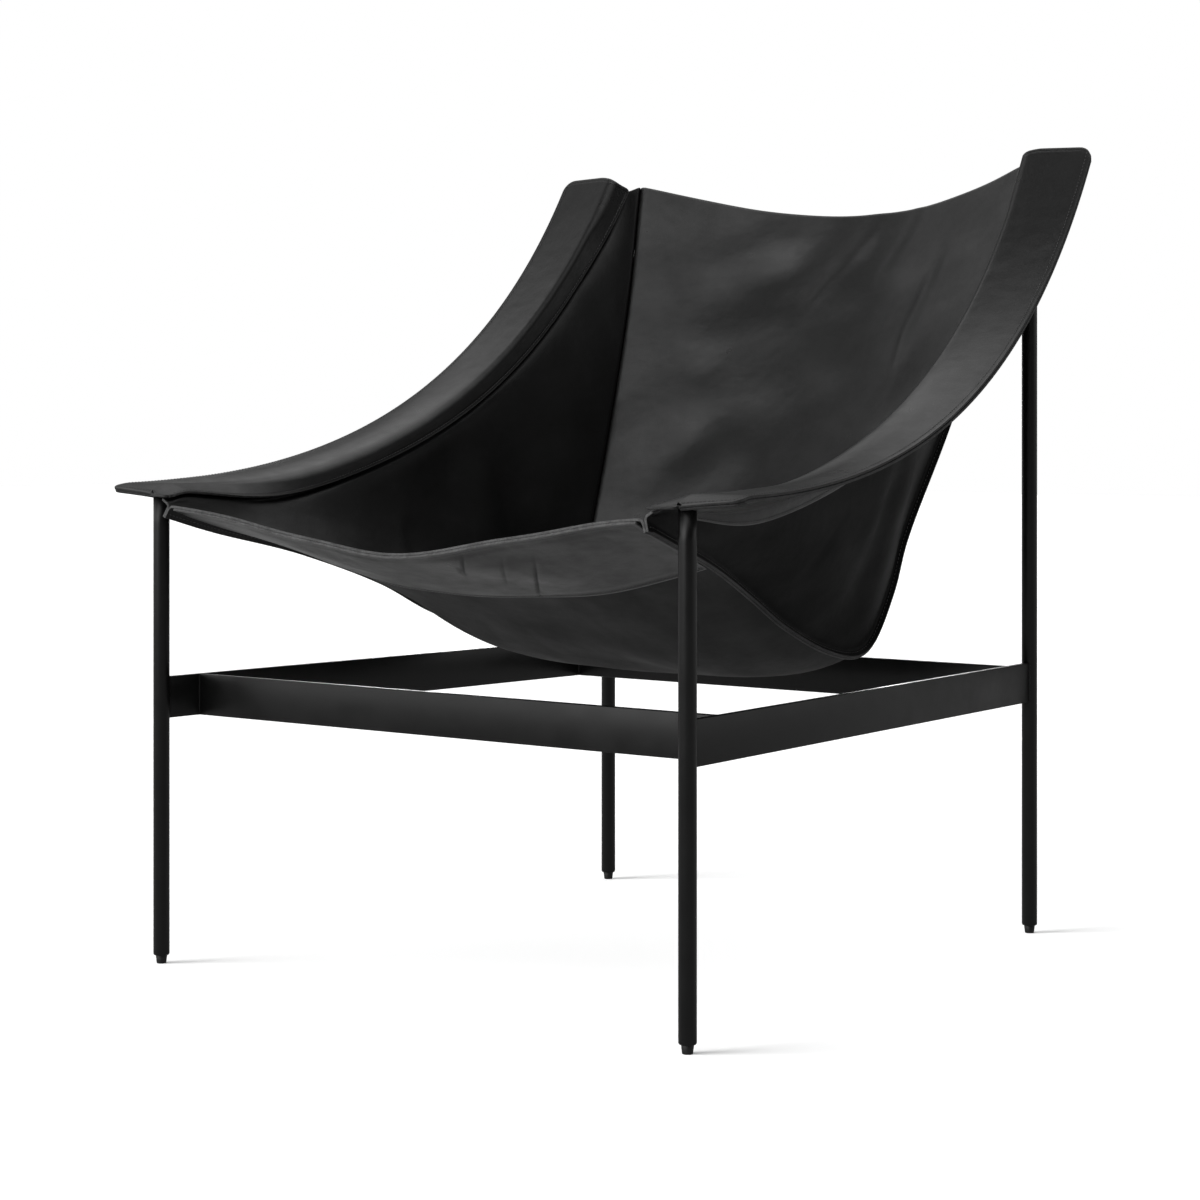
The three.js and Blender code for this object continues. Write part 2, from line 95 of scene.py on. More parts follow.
# Arm flap
FLAP_OVERHANG_FRONT = 0.060
FLAP_OVERHANG_TOP = 0.0695
FLAP_LEAD = [0.0008, 0.0042, 0.0115]
FLAP_TRAIL = [0.0040, 0.0018]
FLAP_CURL = 0.0058
FLAP_CURL_FROM = 0.8
FLAP_CURL_FULL = 0.75
FLAP_ARCH = 0.0036
FLAP_ARCH_FULL = 0.12
FLAP_ARCH_FADES = (0.45, 0.7)
FLAP_CORNER_FRONT = 0.009
FLAP_CORNER_TOP = 0.014
SKIRT_CORNER_FRONT = 0.004
SKIRT_CORNER_TOP = 0.004
FLAP_RISE = [0.001, -0.005, -0.0005, 0.0035, 0.0065, 0.007]
SKIRT_WIDTH_FRONT = 0.0300
SKIRT_WIDTH = 0.0255
SKIRT_WIDTH_TOP = 0.029
SKIRT_FALL_FRONT = math.radians(14)
SKIRT_FALL = math.radians(75)
SKIRT_FALL_TOP = math.radians(62)
SKIRT_SETTLES_AT = 0.32
SKIRT_OPENS_AT = 0.8
SKIRT_LAP = 0.006
UNDER_LAP = 0.014
UNDER_TURN = math.radians(60)
CROWN_SLACK = 0.006
CROWN_SLACK_FADES = (0.3, 0.8)
TOP_SLACK = 0.005
TOP_SLACK_FROM = 0.88
TOP_SLACK_FULL = 0.96

# Sewn seam: inset from the leg line, distance from the arm's end, drop below it
SEAT_SEAM = [
    (0.033, -0.009, 0.021),
    (0.040, 0.048, 0.0385),
    (0.060, 0.143, 0.0645),
    (0.078, 0.237, 0.0985),
    (0.082, 0.306, 0.131),
    (0.087, 0.390, 0.159),
    (0.092, 0.458, 0.168),
]
BACK_SEAM = [
    (0.094, 0.195, 0.500),
    (0.092, 0.157, 0.451),
    (0.087, 0.139, 0.401),
    (0.067, 0.085, 0.289),
    (0.044, 0.025, 0.151),
    (0.017, -0.031, 0.006),
]
SEAM_FLANGE_FRONT = 0.0118
SEAM_FLANGE = 0.009
FLANGE_SETTLES_AT = 0.15
PANEL_LEAD = 0.0095
PANEL_LEAD_SHARE = 0.08
PANEL_TRAIL = 0.0045
PANEL_TRAIL_FROM = 0.9
SIDE_BULGE_RATE = 0.032
SIDE_HOLLOW_RATE = -0.045
SIDE_HOLLOWS = (0.45, 0.8)
PANEL_RIPPLE = 0.0007
PANEL_WAVES = {"seed": 11, "longest": 0.22, "shortest": 0.06}
PANEL_PUFF = 0.0032
PANEL_PUFF_AT = 0.012
PANEL_PUFF_RISES = (0.06, 0.3)
PANEL_PUFF_FADES = (0.9, 0.98)

# Seat and back
SEAT_SAG = [0.036, 0.0385, 0.0395, 0.0285, 0.040, 0.060, 0.081]
SAG_SHARPNESS = [1.5, 0.95, 0.9, 0.9, 1.15, 1.2, 1.2]
SAG_BREADTH = [1.35, 2.5, 4.2, 4.4, 2.7, 2.1, 2.1]
SAG_MIDDLE = 0.2
SEAT_RIPPLE = 0.0008
BACK_RIPPLE = 0.0020
BACK_RIPPLE_RISES = (0.58, 0.72)
BACK_RIPPLE_STOPS = 0.06
SEAT_WAVES = {"seed": 5, "longest": 0.30, "shortest": 0.07}
FRONT_EDGE_SCOOP = 0.012
BACK_EDGE_SCOOP = 0.013
EDGE_FADE = 0.16
FACING_DEPTH = 0.165
FACING_SPREAD = 0.976
BESIDE_SEAM = 0.9
SEAM_DRAWS_FROM = 0.8
FOLD_ROUND = 0.0045
FOLD_STEPS = 5
FLANGE_OUTWARD = (0, 0.4, 0.8, 1)
FLANGE_INWARD = (0, 0.2, 0.6, 1)

# Folds in the back and facing, by half width and share of the seam; in the panels, by height and share
BACK_FOLDS = [
    ((0.14, 0.985), (-0.16, 0.875), (0.02, 0.032), 0.0030),
    ((0.34, 0.995), (0.20, 0.905), (0.014, 0.022), 0.0018),
    ((0.60, 0.93), (0.48, 0.80), (0.022, 0.03), 0.0028),
]
FACING_CREASES = [
    ((0.28, 0.008), (0.12, 0.070), (0.002, 0.003), -0.0014),
    ((0.20, 0.030), (0.13, 0.062), (0.002, 0.003), -0.0010),
    ((0.38, 0.030), (0.22, 0.100), (0.002, 0.004), -0.0009),
    ((0.48, 0.043), (0.26, 0.143), (0.002, 0.004), -0.0016),
]
PANEL_FOLDS = [
    ((0.05, 0.525), (1.0, 0.410), (0.034, 0.032), -0.0090),
    ((0.28, 0.365), (0.72, 0.310), (0.006, 0.012), -0.0012),
]

# Frame
RAIL_THICKNESS = 0.006
RAIL_EDGE = 0.0009
ROUND_SIDES = 48
SLOT_GAP = 0.0008
SLOT_SIDES = 32
SLOT_RADII = 4
SLOT_HEIGHTS = (0.4, 0.9)


# Numbers and lines


def smooth(value, low, high):
    part = np.clip((value - low) / (high - low), 0, 1)
    return part * part * (3 - 2 * part)


def fading(value, low, high):
    """1 up to low, 0 from high on."""
    return smooth(-value, -high, -low)


def between(first, second, part):
    return first + (second - first) * part


def unit(vectors):
    return vectors / np.maximum(np.linalg.norm(vectors, axis=-1, keepdims=True), 1e-12)


def spline(values, share):
    """A smooth line through evenly spaced values."""
    values = np.array(values)
    last = len(values) - 1
    place = np.clip(share, 0, 1) * last
    i = np.minimum(np.floor(place).astype(int), last - 1)
    t = place - i
    before, here = values[np.maximum(i - 1, 0)], values[i]
    there, after = values[i + 1], values[np.minimum(i + 2, last)]
    out, back = (there - before) / 2, (after - here) / 2
    cubic = 2 * here - 2 * there + out + back
    square = -3 * here + 3 * there - 2 * out - back
    return cubic * t**3 + square * t**2 + out * t + here


class Line:
    """A curve through close points, read by share of its length from the first to the last that count."""

    def __init__(self, points, first=0, last=-1):
        steps = np.linalg.norm(np.diff(points, axis=0), axis=1)
        run = np.concatenate([[0], np.cumsum(steps)])
        self.points = points
        self.length = run[last] - run[first]
        self.shares = (run - run[first]) / self.length
        self.directions = unit(np.gradient(points, run, axis=0))

    def read(self, values, share):
        columns = [np.interp(share, self.shares, values[:, k]) for k in range(values.shape[1])]
        return np.stack(columns, axis=-1)

    def at(self, share):
        return self.read(self.points, share)

    def along(self, share):
        return unit(self.read(self.directions, share))


def curve_through(points, steps):
    """Close points on a smooth curve through the given ones."""
    points = np.array(points)
    ends = [2 * points[0] - points[1], *points, 2 * points[-1] - points[-2]]
    t = np.linspace(0, 1, steps, endpoint=False)[:, None]
    pieces = []
    for p0, p1, p2, p3 in zip(ends, ends[1:], ends[2:], ends[3:]):
        d0, d1, d2 = (np.sqrt(np.linalg.norm(b - a)) for a, b in ((p0, p1), (p1, p2), (p2, p3)))
        out = ((p1 - p0) / d0 - (p2 - p0) / (d0 + d1) + (p2 - p1) / d1) * d1
        back = ((p2 - p1) / d1 - (p3 - p1) / (d1 + d2) + (p3 - p2) / d2) * d1
        cubic = 2 * p1 - 2 * p2 + out + back
        square = -3 * p1 + 3 * p2 - 2 * out - back
        pieces.append(cubic * t**3 + square * t**2 + out * t + p1)
    return np.concatenate([*pieces, points[-1:]])


def waves(u, v, seed, longest, shortest, count=16):
    """A smooth random field of about unit size over two lengths."""
    chance = np.random.default_rng(seed)
    total = np.zeros(np.broadcast(u, v).shape)
    power = 0
    for _ in range(count):
        length = longest * (shortest / longest) ** chance.random()
        turn, phase = chance.random(2) * 2 * math.pi
        height = length / longest
        angle = (u * math.cos(turn) + v * math.sin(turn)) * 2 * math.pi / length
        total += height * np.sin(angle + phase)
        power += height**2 / 2
    return total / math.sqrt(power)


# Frame lines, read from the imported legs


def node_box(name):
    low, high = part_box(name)
    return np.array(low), np.array(high)


def node_middle(name):
    low, high = node_box(name)
    return (low + high) / 2


front_leg = node_middle("front_leg_right")
rear_leg = node_middle("rear_leg_right")
leg_low, leg_high = node_box("front_leg_right")
LEG_RADIUS = (leg_high[0] - leg_low[0]) / 2
leg_taper = (front_leg[0] - rear_leg[0]) / (rear_leg[1] - front_leg[1])


def leg_line(y):
    """Distance from the middle to the line through a side's two legs."""
    return front_leg[0] - leg_taper * (y - front_leg[1])


arm_front = np.array([front_leg[1] - ARM_FRONT_OVERHANG, ARM_FRONT_HEIGHT])
arm_top = np.array([rear_leg[1] + ARM_TOP_OVERHANG, ARM_TOP_HEIGHT])


def front_dip(run):
    """How far the front end is bent down, from 0 to about 1, by distance behind the arm's front."""
    return np.minimum(np.maximum(0, 1 - run / DIP_LENGTH) ** DIP_SHARPNESS, DIP_LIMIT)


ARM_STEPS = 2001
LEAD_STEPS = 40
TRAIL_STEPS = 16
SEAM_STEPS = 80


def arm_curve(steps):
    t = np.linspace(0, 1, steps)[:, None]
    level = arm_front + [ARM_FRONT_REACH, 0]
    steep = arm_top - ARM_TOP_REACH * np.array([math.cos(ARM_TOP_SLOPE), math.sin(ARM_TOP_SLOPE)])
    curve = (
        (1 - t) ** 3 * arm_front
        + 3 * t * (1 - t) ** 2 * level
        + 3 * t**2 * (1 - t) * steep
        + t**3 * arm_top
    )
    lead = arm_front - np.linspace(ARM_LEAD, 0, LEAD_STEPS, endpoint=False)[:, None] * [1, 0]
    trail = arm_top + unit(arm_top - steep) * np.linspace(0, ARM_TRAIL, TRAIL_STEPS + 1)[1:, None]
    points = np.concatenate([lead, curve, trail])
    points[:, 1] -= FRONT_DROOP * front_dip(points[:, 0] - arm_front[0])
    return points


arm = Line(arm_curve(ARM_STEPS), LEAD_STEPS, -1 - TRAIL_STEPS)


def arm_point(share, outboard, above):
    """A point near the right arm: share of its length, distance outboard of the leg line, height above."""
    place, way = arm.at(share), arm.along(share)
    y = place[..., 0] - way[..., 1] * above
    z = place[..., 1] + way[..., 0] * above
    return np.stack(np.broadcast_arrays(leg_line(y) + outboard, y, z), axis=-1)


def arm_dip(share):
    return front_dip(share * arm.length)


def flap_rise(share):
    return spline(FLAP_RISE, share) - FRONT_DIP * arm_dip(share)


def flap_overhang(share):
    return between(FLAP_OVERHANG_FRONT, FLAP_OVERHANG_TOP, share)


def skirt_fall(share):
    fall = between(SKIRT_FALL_FRONT, SKIRT_FALL, smooth(share, 0, SKIRT_SETTLES_AT))
    fall = between(fall, SKIRT_FALL_TOP, smooth(share, SKIRT_OPENS_AT, 1))
    return fall - FRONT_LIFT * arm_dip(share)


def skirt_width(share):
    width = between(SKIRT_WIDTH_FRONT, SKIRT_WIDTH, smooth(share, 0, SKIRT_SETTLES_AT))
    return between(width, SKIRT_WIDTH_TOP, smooth(share, SKIRT_OPENS_AT, 1))


SLEEVE_RADIUS = ROD_RADIUS + SLEEVE_GAP


def rod_above(share):
    return flap_rise(share) - LEATHER - SLEEVE_RADIUS


def wrap_radius(share):
    slack = CROWN_SLACK * (1 - smooth(share, *CROWN_SLACK_FADES))
    return SLEEVE_RADIUS + LEATHER + slack + TOP_SLACK * smooth(share, TOP_SLACK_FROM, TOP_SLACK_FULL)


def round_rod(share, angle, radius):
    return arm_point(share, -radius * np.sin(angle), rod_above(share) + radius * np.cos(angle))


def skirt_point(share, down, depth):
    """A point on the skirt: distance down the leather from the rod's top, depth below its top face."""
    fall, wrap = skirt_fall(share), wrap_radius(share)
    straight = down - wrap * fall
    radius = wrap - depth
    return arm_point(
        share,
        -radius * np.sin(fall) - straight * np.cos(fall),
        flap_rise(share) - wrap + radius * np.cos(fall) - straight * np.sin(fall),
    )


def flap_arch(share):
    return FLAP_ARCH * smooth(share, 0, FLAP_ARCH_FULL) * (1 - smooth(share, *FLAP_ARCH_FADES))


def crown_start(share):
    """The angle at which the flap's arch runs into the turn round the rod."""
    slope = (flap_rise(share) - 4 * flap_arch(share)) / flap_overhang(share)
    return np.clip(-slope, 0, skirt_fall(share))


def flap_level(share, part, depth):
    """A point of the arch between the flap's outer edge and the rod, at a depth below its top face."""
    start, wrap = crown_start(share), wrap_radius(share)
    outboard = between(flap_overhang(share), -wrap * np.sin(start), part)
    above = between(0, flap_rise(share) - wrap * (1 - np.cos(start)), part)
    return arm_point(share, outboard, above + 4 * flap_arch(share) * part * (1 - part) - depth)


def flap_point(share, across):
    """A point of the flap's top face: 0 to 1 from its edge to the rod, to 2 round it, to 3 down the skirt."""
    flat, turn, skirt = np.clip(across, 0, 1), np.clip(across - 1, 0, 1), np.clip(across - 2, 0, 1)
    level = flap_level(share, flat, 0)
    fall, wrap = skirt_fall(share), wrap_radius(share)
    angle = between(crown_start(share), fall, turn)
    turned = arm_point(share, -wrap * np.sin(angle), flap_rise(share) - wrap * (1 - np.cos(angle)))
    hanging = skirt_point(share, between(wrap * fall, skirt_width(share), skirt), 0)
    chosen = np.broadcast_to(across, turned.shape[:-1])[..., None]
    return np.where(chosen <= 1, level, np.where(chosen <= 2, turned, hanging))


seam = Line(
    curve_through(
        [
            (leg_line(arm_front[0] + back) - inset, arm_front[0] + back, arm_front[1] - drop)
            for inset, back, drop in SEAT_SEAM
        ]
        + [
            (leg_line(arm_top[0] - ahead) - inset, arm_top[0] - ahead, arm_top[1] - drop)
            for inset, ahead, drop in BACK_SEAM
        ],
        SEAM_STEPS,
    )
)


FOLD_RISES = (-0.15, 0.3)
FOLD_FADES = (0.7, 1.15)


def folds(u, v, lines):
    """The height of soft folds: each from a place to a place, its widths to either side and its height."""
    total = np.zeros(np.broadcast(u, v).shape)
    for start, stop, widths, height in lines:
        way = np.subtract(stop, start)
        length = math.hypot(*way)
        along = ((u - start[0]) * way[0] + (v - start[1]) * way[1]) / length**2
        off = ((u - start[0]) * way[1] - (v - start[1]) * way[0]) / length
        width = np.where(off < 0, *widths)
        ends = smooth(along, *FOLD_RISES) * fading(along, *FOLD_FADES)
        total = total + height * ends * np.exp(-((off / width) ** 2))
    return total


def seat_point(share, across):
    """A point of the seat and back: share of the seam's length, share of the half width."""
    place, way = seam.at(share), seam.along(share)
    at_front = np.maximum(0, 1 - share / EDGE_FADE)
    at_back = np.maximum(0, 1 - (1 - share) / EDGE_FADE)
    breadth, sharpness = spline(SAG_BREADTH, share), spline(SAG_SHARPNESS, share)
    reach = ((across**2 + SAG_MIDDLE**2) ** (breadth / 2) - SAG_MIDDLE**breadth) / (
        (1 + SAG_MIDDLE**2) ** (breadth / 2) - SAG_MIDDLE**breadth
    )
    swell = np.maximum(0, 1 - reach) ** sharpness
    slide = (FRONT_EDGE_SCOOP * at_front - BACK_EDGE_SCOOP * at_back) * swell
    x = place[..., 0] * across
    on_back = smooth(share, *BACK_RIPPLE_RISES) * smooth(1 - share, 0, BACK_RIPPLE_STOPS)
    ripple = between(SEAT_RIPPLE, BACK_RIPPLE, on_back) * waves(x, share * seam.length, **SEAT_WAVES)
    ripple = ripple - folds(across, share, BACK_FOLDS)
    ripple = ripple * (1 - np.abs(across) ** 4)
    out = np.stack([way[..., 2], -way[..., 1]], axis=-1)
    out = unit(out) * (spline(SEAT_SAG, share) * swell + ripple)[..., None]
    y = place[..., 1] + out[..., 0] + way[..., 1] * slide
    z = place[..., 2] + out[..., 1] + way[..., 2] * slide
    return np.stack(np.broadcast_arrays(x, y, z), axis=-1)


def panel_hang(share, up, gap):
    """A point of the side panel behind the skirt: share of the seam, height above the skirt's edge."""
    lead = PANEL_LEAD / arm.length * np.maximum(0, 1 - share / PANEL_LEAD_SHARE) ** 2
    trail = PANEL_TRAIL / arm.length * smooth(share, PANEL_TRAIL_FROM, 1)
    from_arm = share - lead - trail
    return skirt_point(from_arm, skirt_width(from_arm) - up, LEATHER * 1.5 + gap)


def groove_point(share):
    return panel_hang(share, 0, GROOVE_GAP)


def seam_flange(share):
    return between(SEAM_FLANGE_FRONT, SEAM_FLANGE, smooth(share, 0, FLANGE_SETTLES_AT))


def seam_directions(share):
    """The way the seam's flange points, and the way from its middle to the seat's layer."""
    place, way = seam.at(share), seam.along(share)

    def square(vector):
        return unit(vector - way * np.sum(vector * way, axis=-1, keepdims=True))

    to_seat = square(seat_point(share, BESIDE_SEAM) - place)
    to_arm = square(groove_point(share) - place)
    flange = -unit(to_seat + to_arm)
    apart = unit(to_seat - flange * np.sum(to_seat * flange, axis=-1, keepdims=True))
    return flange, apart


# Leather sheets


def normals_of(grid, side):
    return side * unit(np.cross(np.gradient(grid, axis=0), np.gradient(grid, axis=1)))


def rounded_corner(start, corner, end, steps):
    """Columns round a fold from start to end, without these two."""
    parts = np.linspace(0, 1, steps + 2)[1:-1]
    return [(1 - t) ** 2 * start + 2 * t * (1 - t) * corner + t**2 * end for t in parts]


def cut_corners(columns, times):
    """Columns across a sheet with their folds rounded off."""
    for _ in range(times):
        finer = [columns[0]]
        for first, second in zip(columns, columns[1:]):
            finer += [between(first, second, 0.25), between(first, second, 0.75)]
        columns = [*finer, columns[-1]]
    return columns


RIM_PARTS = [0.08, 0.22, 0.5, 0.78, 0.92]
RIM_BULGE = [0.6, 0.92, 1.0, 0.92, 0.6]


def border_of(rows, columns):
    """The grid places round a sheet's border, in order."""
    down = [(i, 0) for i in range(rows)]
    across = [(rows - 1, j) for j in range(1, columns)]
    up = [(i, columns - 1) for i in range(rows - 2, -1, -1)]
    home = [(0, j) for j in range(columns - 2, 0, -1)]
    return down + across + up + home


def lengths_over(sheet):
    """How far each place of a sheet lies from its first row and from its first column."""
    rows, columns = sheet.shape[:2]
    run = np.linalg.norm(np.diff(sheet, axis=0), axis=-1)
    run = np.concatenate([np.zeros((1, columns)), np.cumsum(run, axis=0)])
    wide = np.linalg.norm(np.diff(sheet, axis=1), axis=-1)
    wide = np.concatenate([np.zeros((rows, 1)), np.cumsum(wide, axis=1)], axis=1)
    return run, wide


def leather_mesh(name, face, reverse, side, first_edge=1, last_edge=1):
    """A closed sheet between two grids, its edges rounded. Finishes: 0 face, 1 edge, 2 reverse, 3 other."""
    rows, columns = face.shape[:2]
    middle = (face + reverse) / 2
    border = border_of(rows, columns)
    at = np.array(border)
    inner = np.clip(at, 1, [rows - 2, columns - 2])
    outward = unit(middle[at[:, 0], at[:, 1]] - middle[inner[:, 0], inner[:, 1]])
    front, back = face[at[:, 0], at[:, 1]], reverse[at[:, 0], at[:, 1]]
    rings = [
        between(front, back, part) + outward * EDGE_BULGE * bulge
        for part, bulge in zip(RIM_PARTS, RIM_BULGE)
    ]
    points = np.concatenate([face.reshape(-1, 3), reverse.reshape(-1, 3), *rings])
    count = rows * columns
    index = np.arange(count).reshape(rows, columns)
    quads = np.stack([index[:-1, :-1], index[1:, :-1], index[1:, 1:], index[:-1, 1:]], axis=-1)
    quads = quads.reshape(-1, 4)
    flat = at[:, 0] * columns + at[:, 1]
    loops = [flat]
    loops += [2 * count + k * len(border) + np.arange(len(border)) for k in range(len(rings))]
    loops += [flat + count]
    rim = []
    for first, second in zip(loops, loops[1:]):
        rim.append(np.stack([np.roll(first, -1), first, second, np.roll(second, -1)], axis=-1))
    faces = np.concatenate([quads, *rim, quads[:, ::-1] + count])
    if side < 0:
        faces = faces[:, ::-1]
    here, there = at[:, 1], np.roll(at[:, 1], -1)
    edge = np.where(np.minimum(here, there) == columns - 1, last_edge, 1)
    edge = np.where(np.maximum(here, there) == 0, first_edge, edge)
    finish = np.concatenate([np.zeros(len(quads)), np.tile(edge, len(rim)), np.full(len(quads), 2)])

    run, wide = lengths_over(middle)
    to_edge = np.minimum.reduce([run, run[-1:] - run, wide, wide[:, -1:] - wide])
    level = np.broadcast_to(run.mean(axis=1, keepdims=True), run.shape)
    laid = np.stack([wide, level], axis=-1).reshape(-1, 2)
    rim_laid = np.tile(laid[flat], (len(rings), 1))
    laid = np.concatenate([laid, laid, rim_laid])
    to_edge = np.concatenate([to_edge.ravel(), to_edge.ravel(), np.zeros(len(rim_laid))])
    return plain_mesh(name, points, faces, finish, laid, to_edge)


def plain_mesh(name, points, faces, finish=None, laid=None, to_edge=None):
    """A smooth mesh: its faces' finish, its points' place on the flat leather and distance to the edge."""
    mesh = bpy.data.meshes.new(name)
    mesh.from_pydata(points.tolist(), [], [list(map(int, corners)) for corners in faces])
    mesh.polygons.foreach_set("use_smooth", [True] * len(mesh.polygons))
    if finish is not None:
        mesh.polygons.foreach_set("material_index", np.asarray(finish, np.int32))
    if laid is not None:
        corner = np.zeros(len(mesh.loops), np.int32)
        mesh.loops.foreach_get("vertex_index", corner)
        layer = mesh.uv_layers.new(name="leather")
        layer.data.foreach_set("uv", laid[corner].astype(np.float32).ravel())
    if to_edge is not None:
        edge = mesh.attributes.new("to_edge", "FLOAT", "POINT")
        edge.data.foreach_set("value", to_edge.astype(np.float32))
    mesh.update()
    return mesh


def prism_mesh(name, outline, low, high, finish=0, rounding=0):
    """An upright block over an outline, its edges rounded."""
    count = len(outline)
    points = np.array([(x, y, z) for z in (low, high) for x, y in outline])
    faces = [list(range(count)), list(range(count, 2 * count))]
    faces += [[i, (i + 1) % count, count + (i + 1) % count, count + i] for i in range(count)]
    mesh = plain_mesh(name, points, faces, [finish] * len(faces))
    work = bmesh.new()
    work.from_mesh(mesh)
    bmesh.ops.recalc_face_normals(work, faces=work.faces)
    if rounding:
        edges = list(work.edges)
        bmesh.ops.bevel(work, geom=edges, offset=rounding, segments=3, affect="EDGES", profile=0.5)
    work.to_mesh(mesh)
    work.free()
    return mesh


def new_piece(mesh, *materials):
    piece = bpy.data.objects.new(mesh.name, mesh)
    bpy.context.scene.collection.objects.link(piece)
    for material in materials:
        mesh.materials.append(material)
    return piece


def settled(piece):
    """The piece's mesh with its modifiers applied."""
    shown = piece.evaluated_get(bpy.context.evaluated_depsgraph_get())
    mesh = bpy.data.meshes.new_from_object(shown)
    mesh.name = piece.data.name
    piece.modifiers.clear()
    old, piece.data = piece.data, mesh
    bpy.data.meshes.remove(old)


def hand_over(piece, slot, *nodes):
    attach(piece, BODY)
    if nodes:
        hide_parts(*nodes)


def leg_slot(leg, side, open_behind):
    """The room for a leg in the leather round it, in its cut finish."""
    half = LEG_RADIUS + SLOT_GAP
    if open_behind:
        back = SLOT_RADII * LEG_RADIUS
        angles = np.linspace(0, math.pi, SLOT_SIDES // 2 + 1)
        outline = [(half * math.cos(a), -half * math.sin(a)) for a in angles]
        outline += [(-half, back), (half, back)]
    else:
        angles = np.linspace(0, 2 * math.pi, SLOT_SIDES, endpoint=False)
        outline = [(half * math.cos(a), half * math.sin(a)) for a in angles]
    outline = np.array(outline) + [side * leg[0], leg[1]]
    return new_piece(prism_mesh("leg_slot", outline, *SLOT_HEIGHTS, finish=1))


def cut_slots(piece, slots):
    for slot in slots:
        cut = piece.modifiers.new("slot", "BOOLEAN")
        cut.operation = "DIFFERENCE"
        cut.solver = "MANIFOLD"
        cut.object = slot
    settled(piece)
    for slot in slots:
        bpy.data.objects.remove(slot)


def on_side(grid, side):
    return grid * [side, 1, 1]


# Materials

NOISE_RANGE = (0.3, 0.7)
# Pale line along the leather's edges, part wear and part painted highlight on the rounded edge: its strength
# against the light tone, and where it fades.
EDGE_WEAR_AND_HIGHLIGHT = 3.5
EDGE_WEAR_AND_HIGHLIGHT_FADES = (0.0003, 0.0025)
FURROW_HALF_WIDTH = 0.0011
FURROW_SOFTNESS = 0.0004
FURROW_STEEPNESS = 600.0
FURROW_DEPTH = 0.0003
# Painted highlight on the arm flap: a pale band in the colour stands in for the sheen on the crown over the
# rod; its rising and falling edges across the leather, then along it, in metres.
HIGHLIGHT_BAND_LIMITS = [(0.034, 0.057), (0.067, 0.060), (0.01, 0.08), (0.52, 0.28)]


def new_material(name):
    material = bpy.data.materials.new(name)
    material.use_nodes = True
    tree = material.node_tree
    return material, tree, tree.nodes["Principled BSDF"]


def add(tree, kind, inputs, family="ShaderNode", **settings):
    """A node with its settings; its inputs, by name or number, are values or sockets."""
    made = tree.nodes.new(family + kind)
    for key, value in settings.items():
        setattr(made, key, value)
    for key, value in inputs.items():
        if isinstance(value, bpy.types.NodeSocket):
            tree.links.new(value, made.inputs[key])
        else:
            made.inputs[key].default_value = value
    return made


def maths(tree, operation, *values):
    return add(tree, "Math", dict(enumerate(values)), operation=operation).outputs[0]


def spread(tree, value, low, high, from_low=0.0, from_high=1.0):
    """A value's range laid on another range."""
    limits = {"From Min": from_low, "From Max": from_high, "To Min": low, "To Max": high}
    return add(tree, "MapRange", {"Value": value, **limits}).outputs[0]


def mixed(tree, part, first, second):
    return add(tree, "Mix", {0: part, 2: first, 3: second}).outputs[0]


def noise(tree, places, scale, detail=3.0, roughness=0.5, stretch=(1, 1, 1)):
    """Noise between 0 and 1 over places in metres."""
    scaled = add(tree, "VectorMath", {0: places, 1: stretch}, operation="MULTIPLY").outputs[0]
    inputs = {"Vector": scaled, "Scale": scale, "Detail": detail, "Roughness": roughness}
    return add(tree, "TexNoise", inputs).outputs["Fac"]


def bump(tree, height, depth, below=None):
    inputs = {"Height": height, "Distance": depth, "Strength": 1.0}
    if below is not None:
        inputs["Normal"] = below
    return add(tree, "Bump", inputs).outputs[0]


def leather_places(tree):
    return add(tree, "UVMap", {}, uv_map="leather").outputs[0]


def edge_distance(tree):
    return add(tree, "Attribute", {}, attribute_name="to_edge").outputs["Fac"]


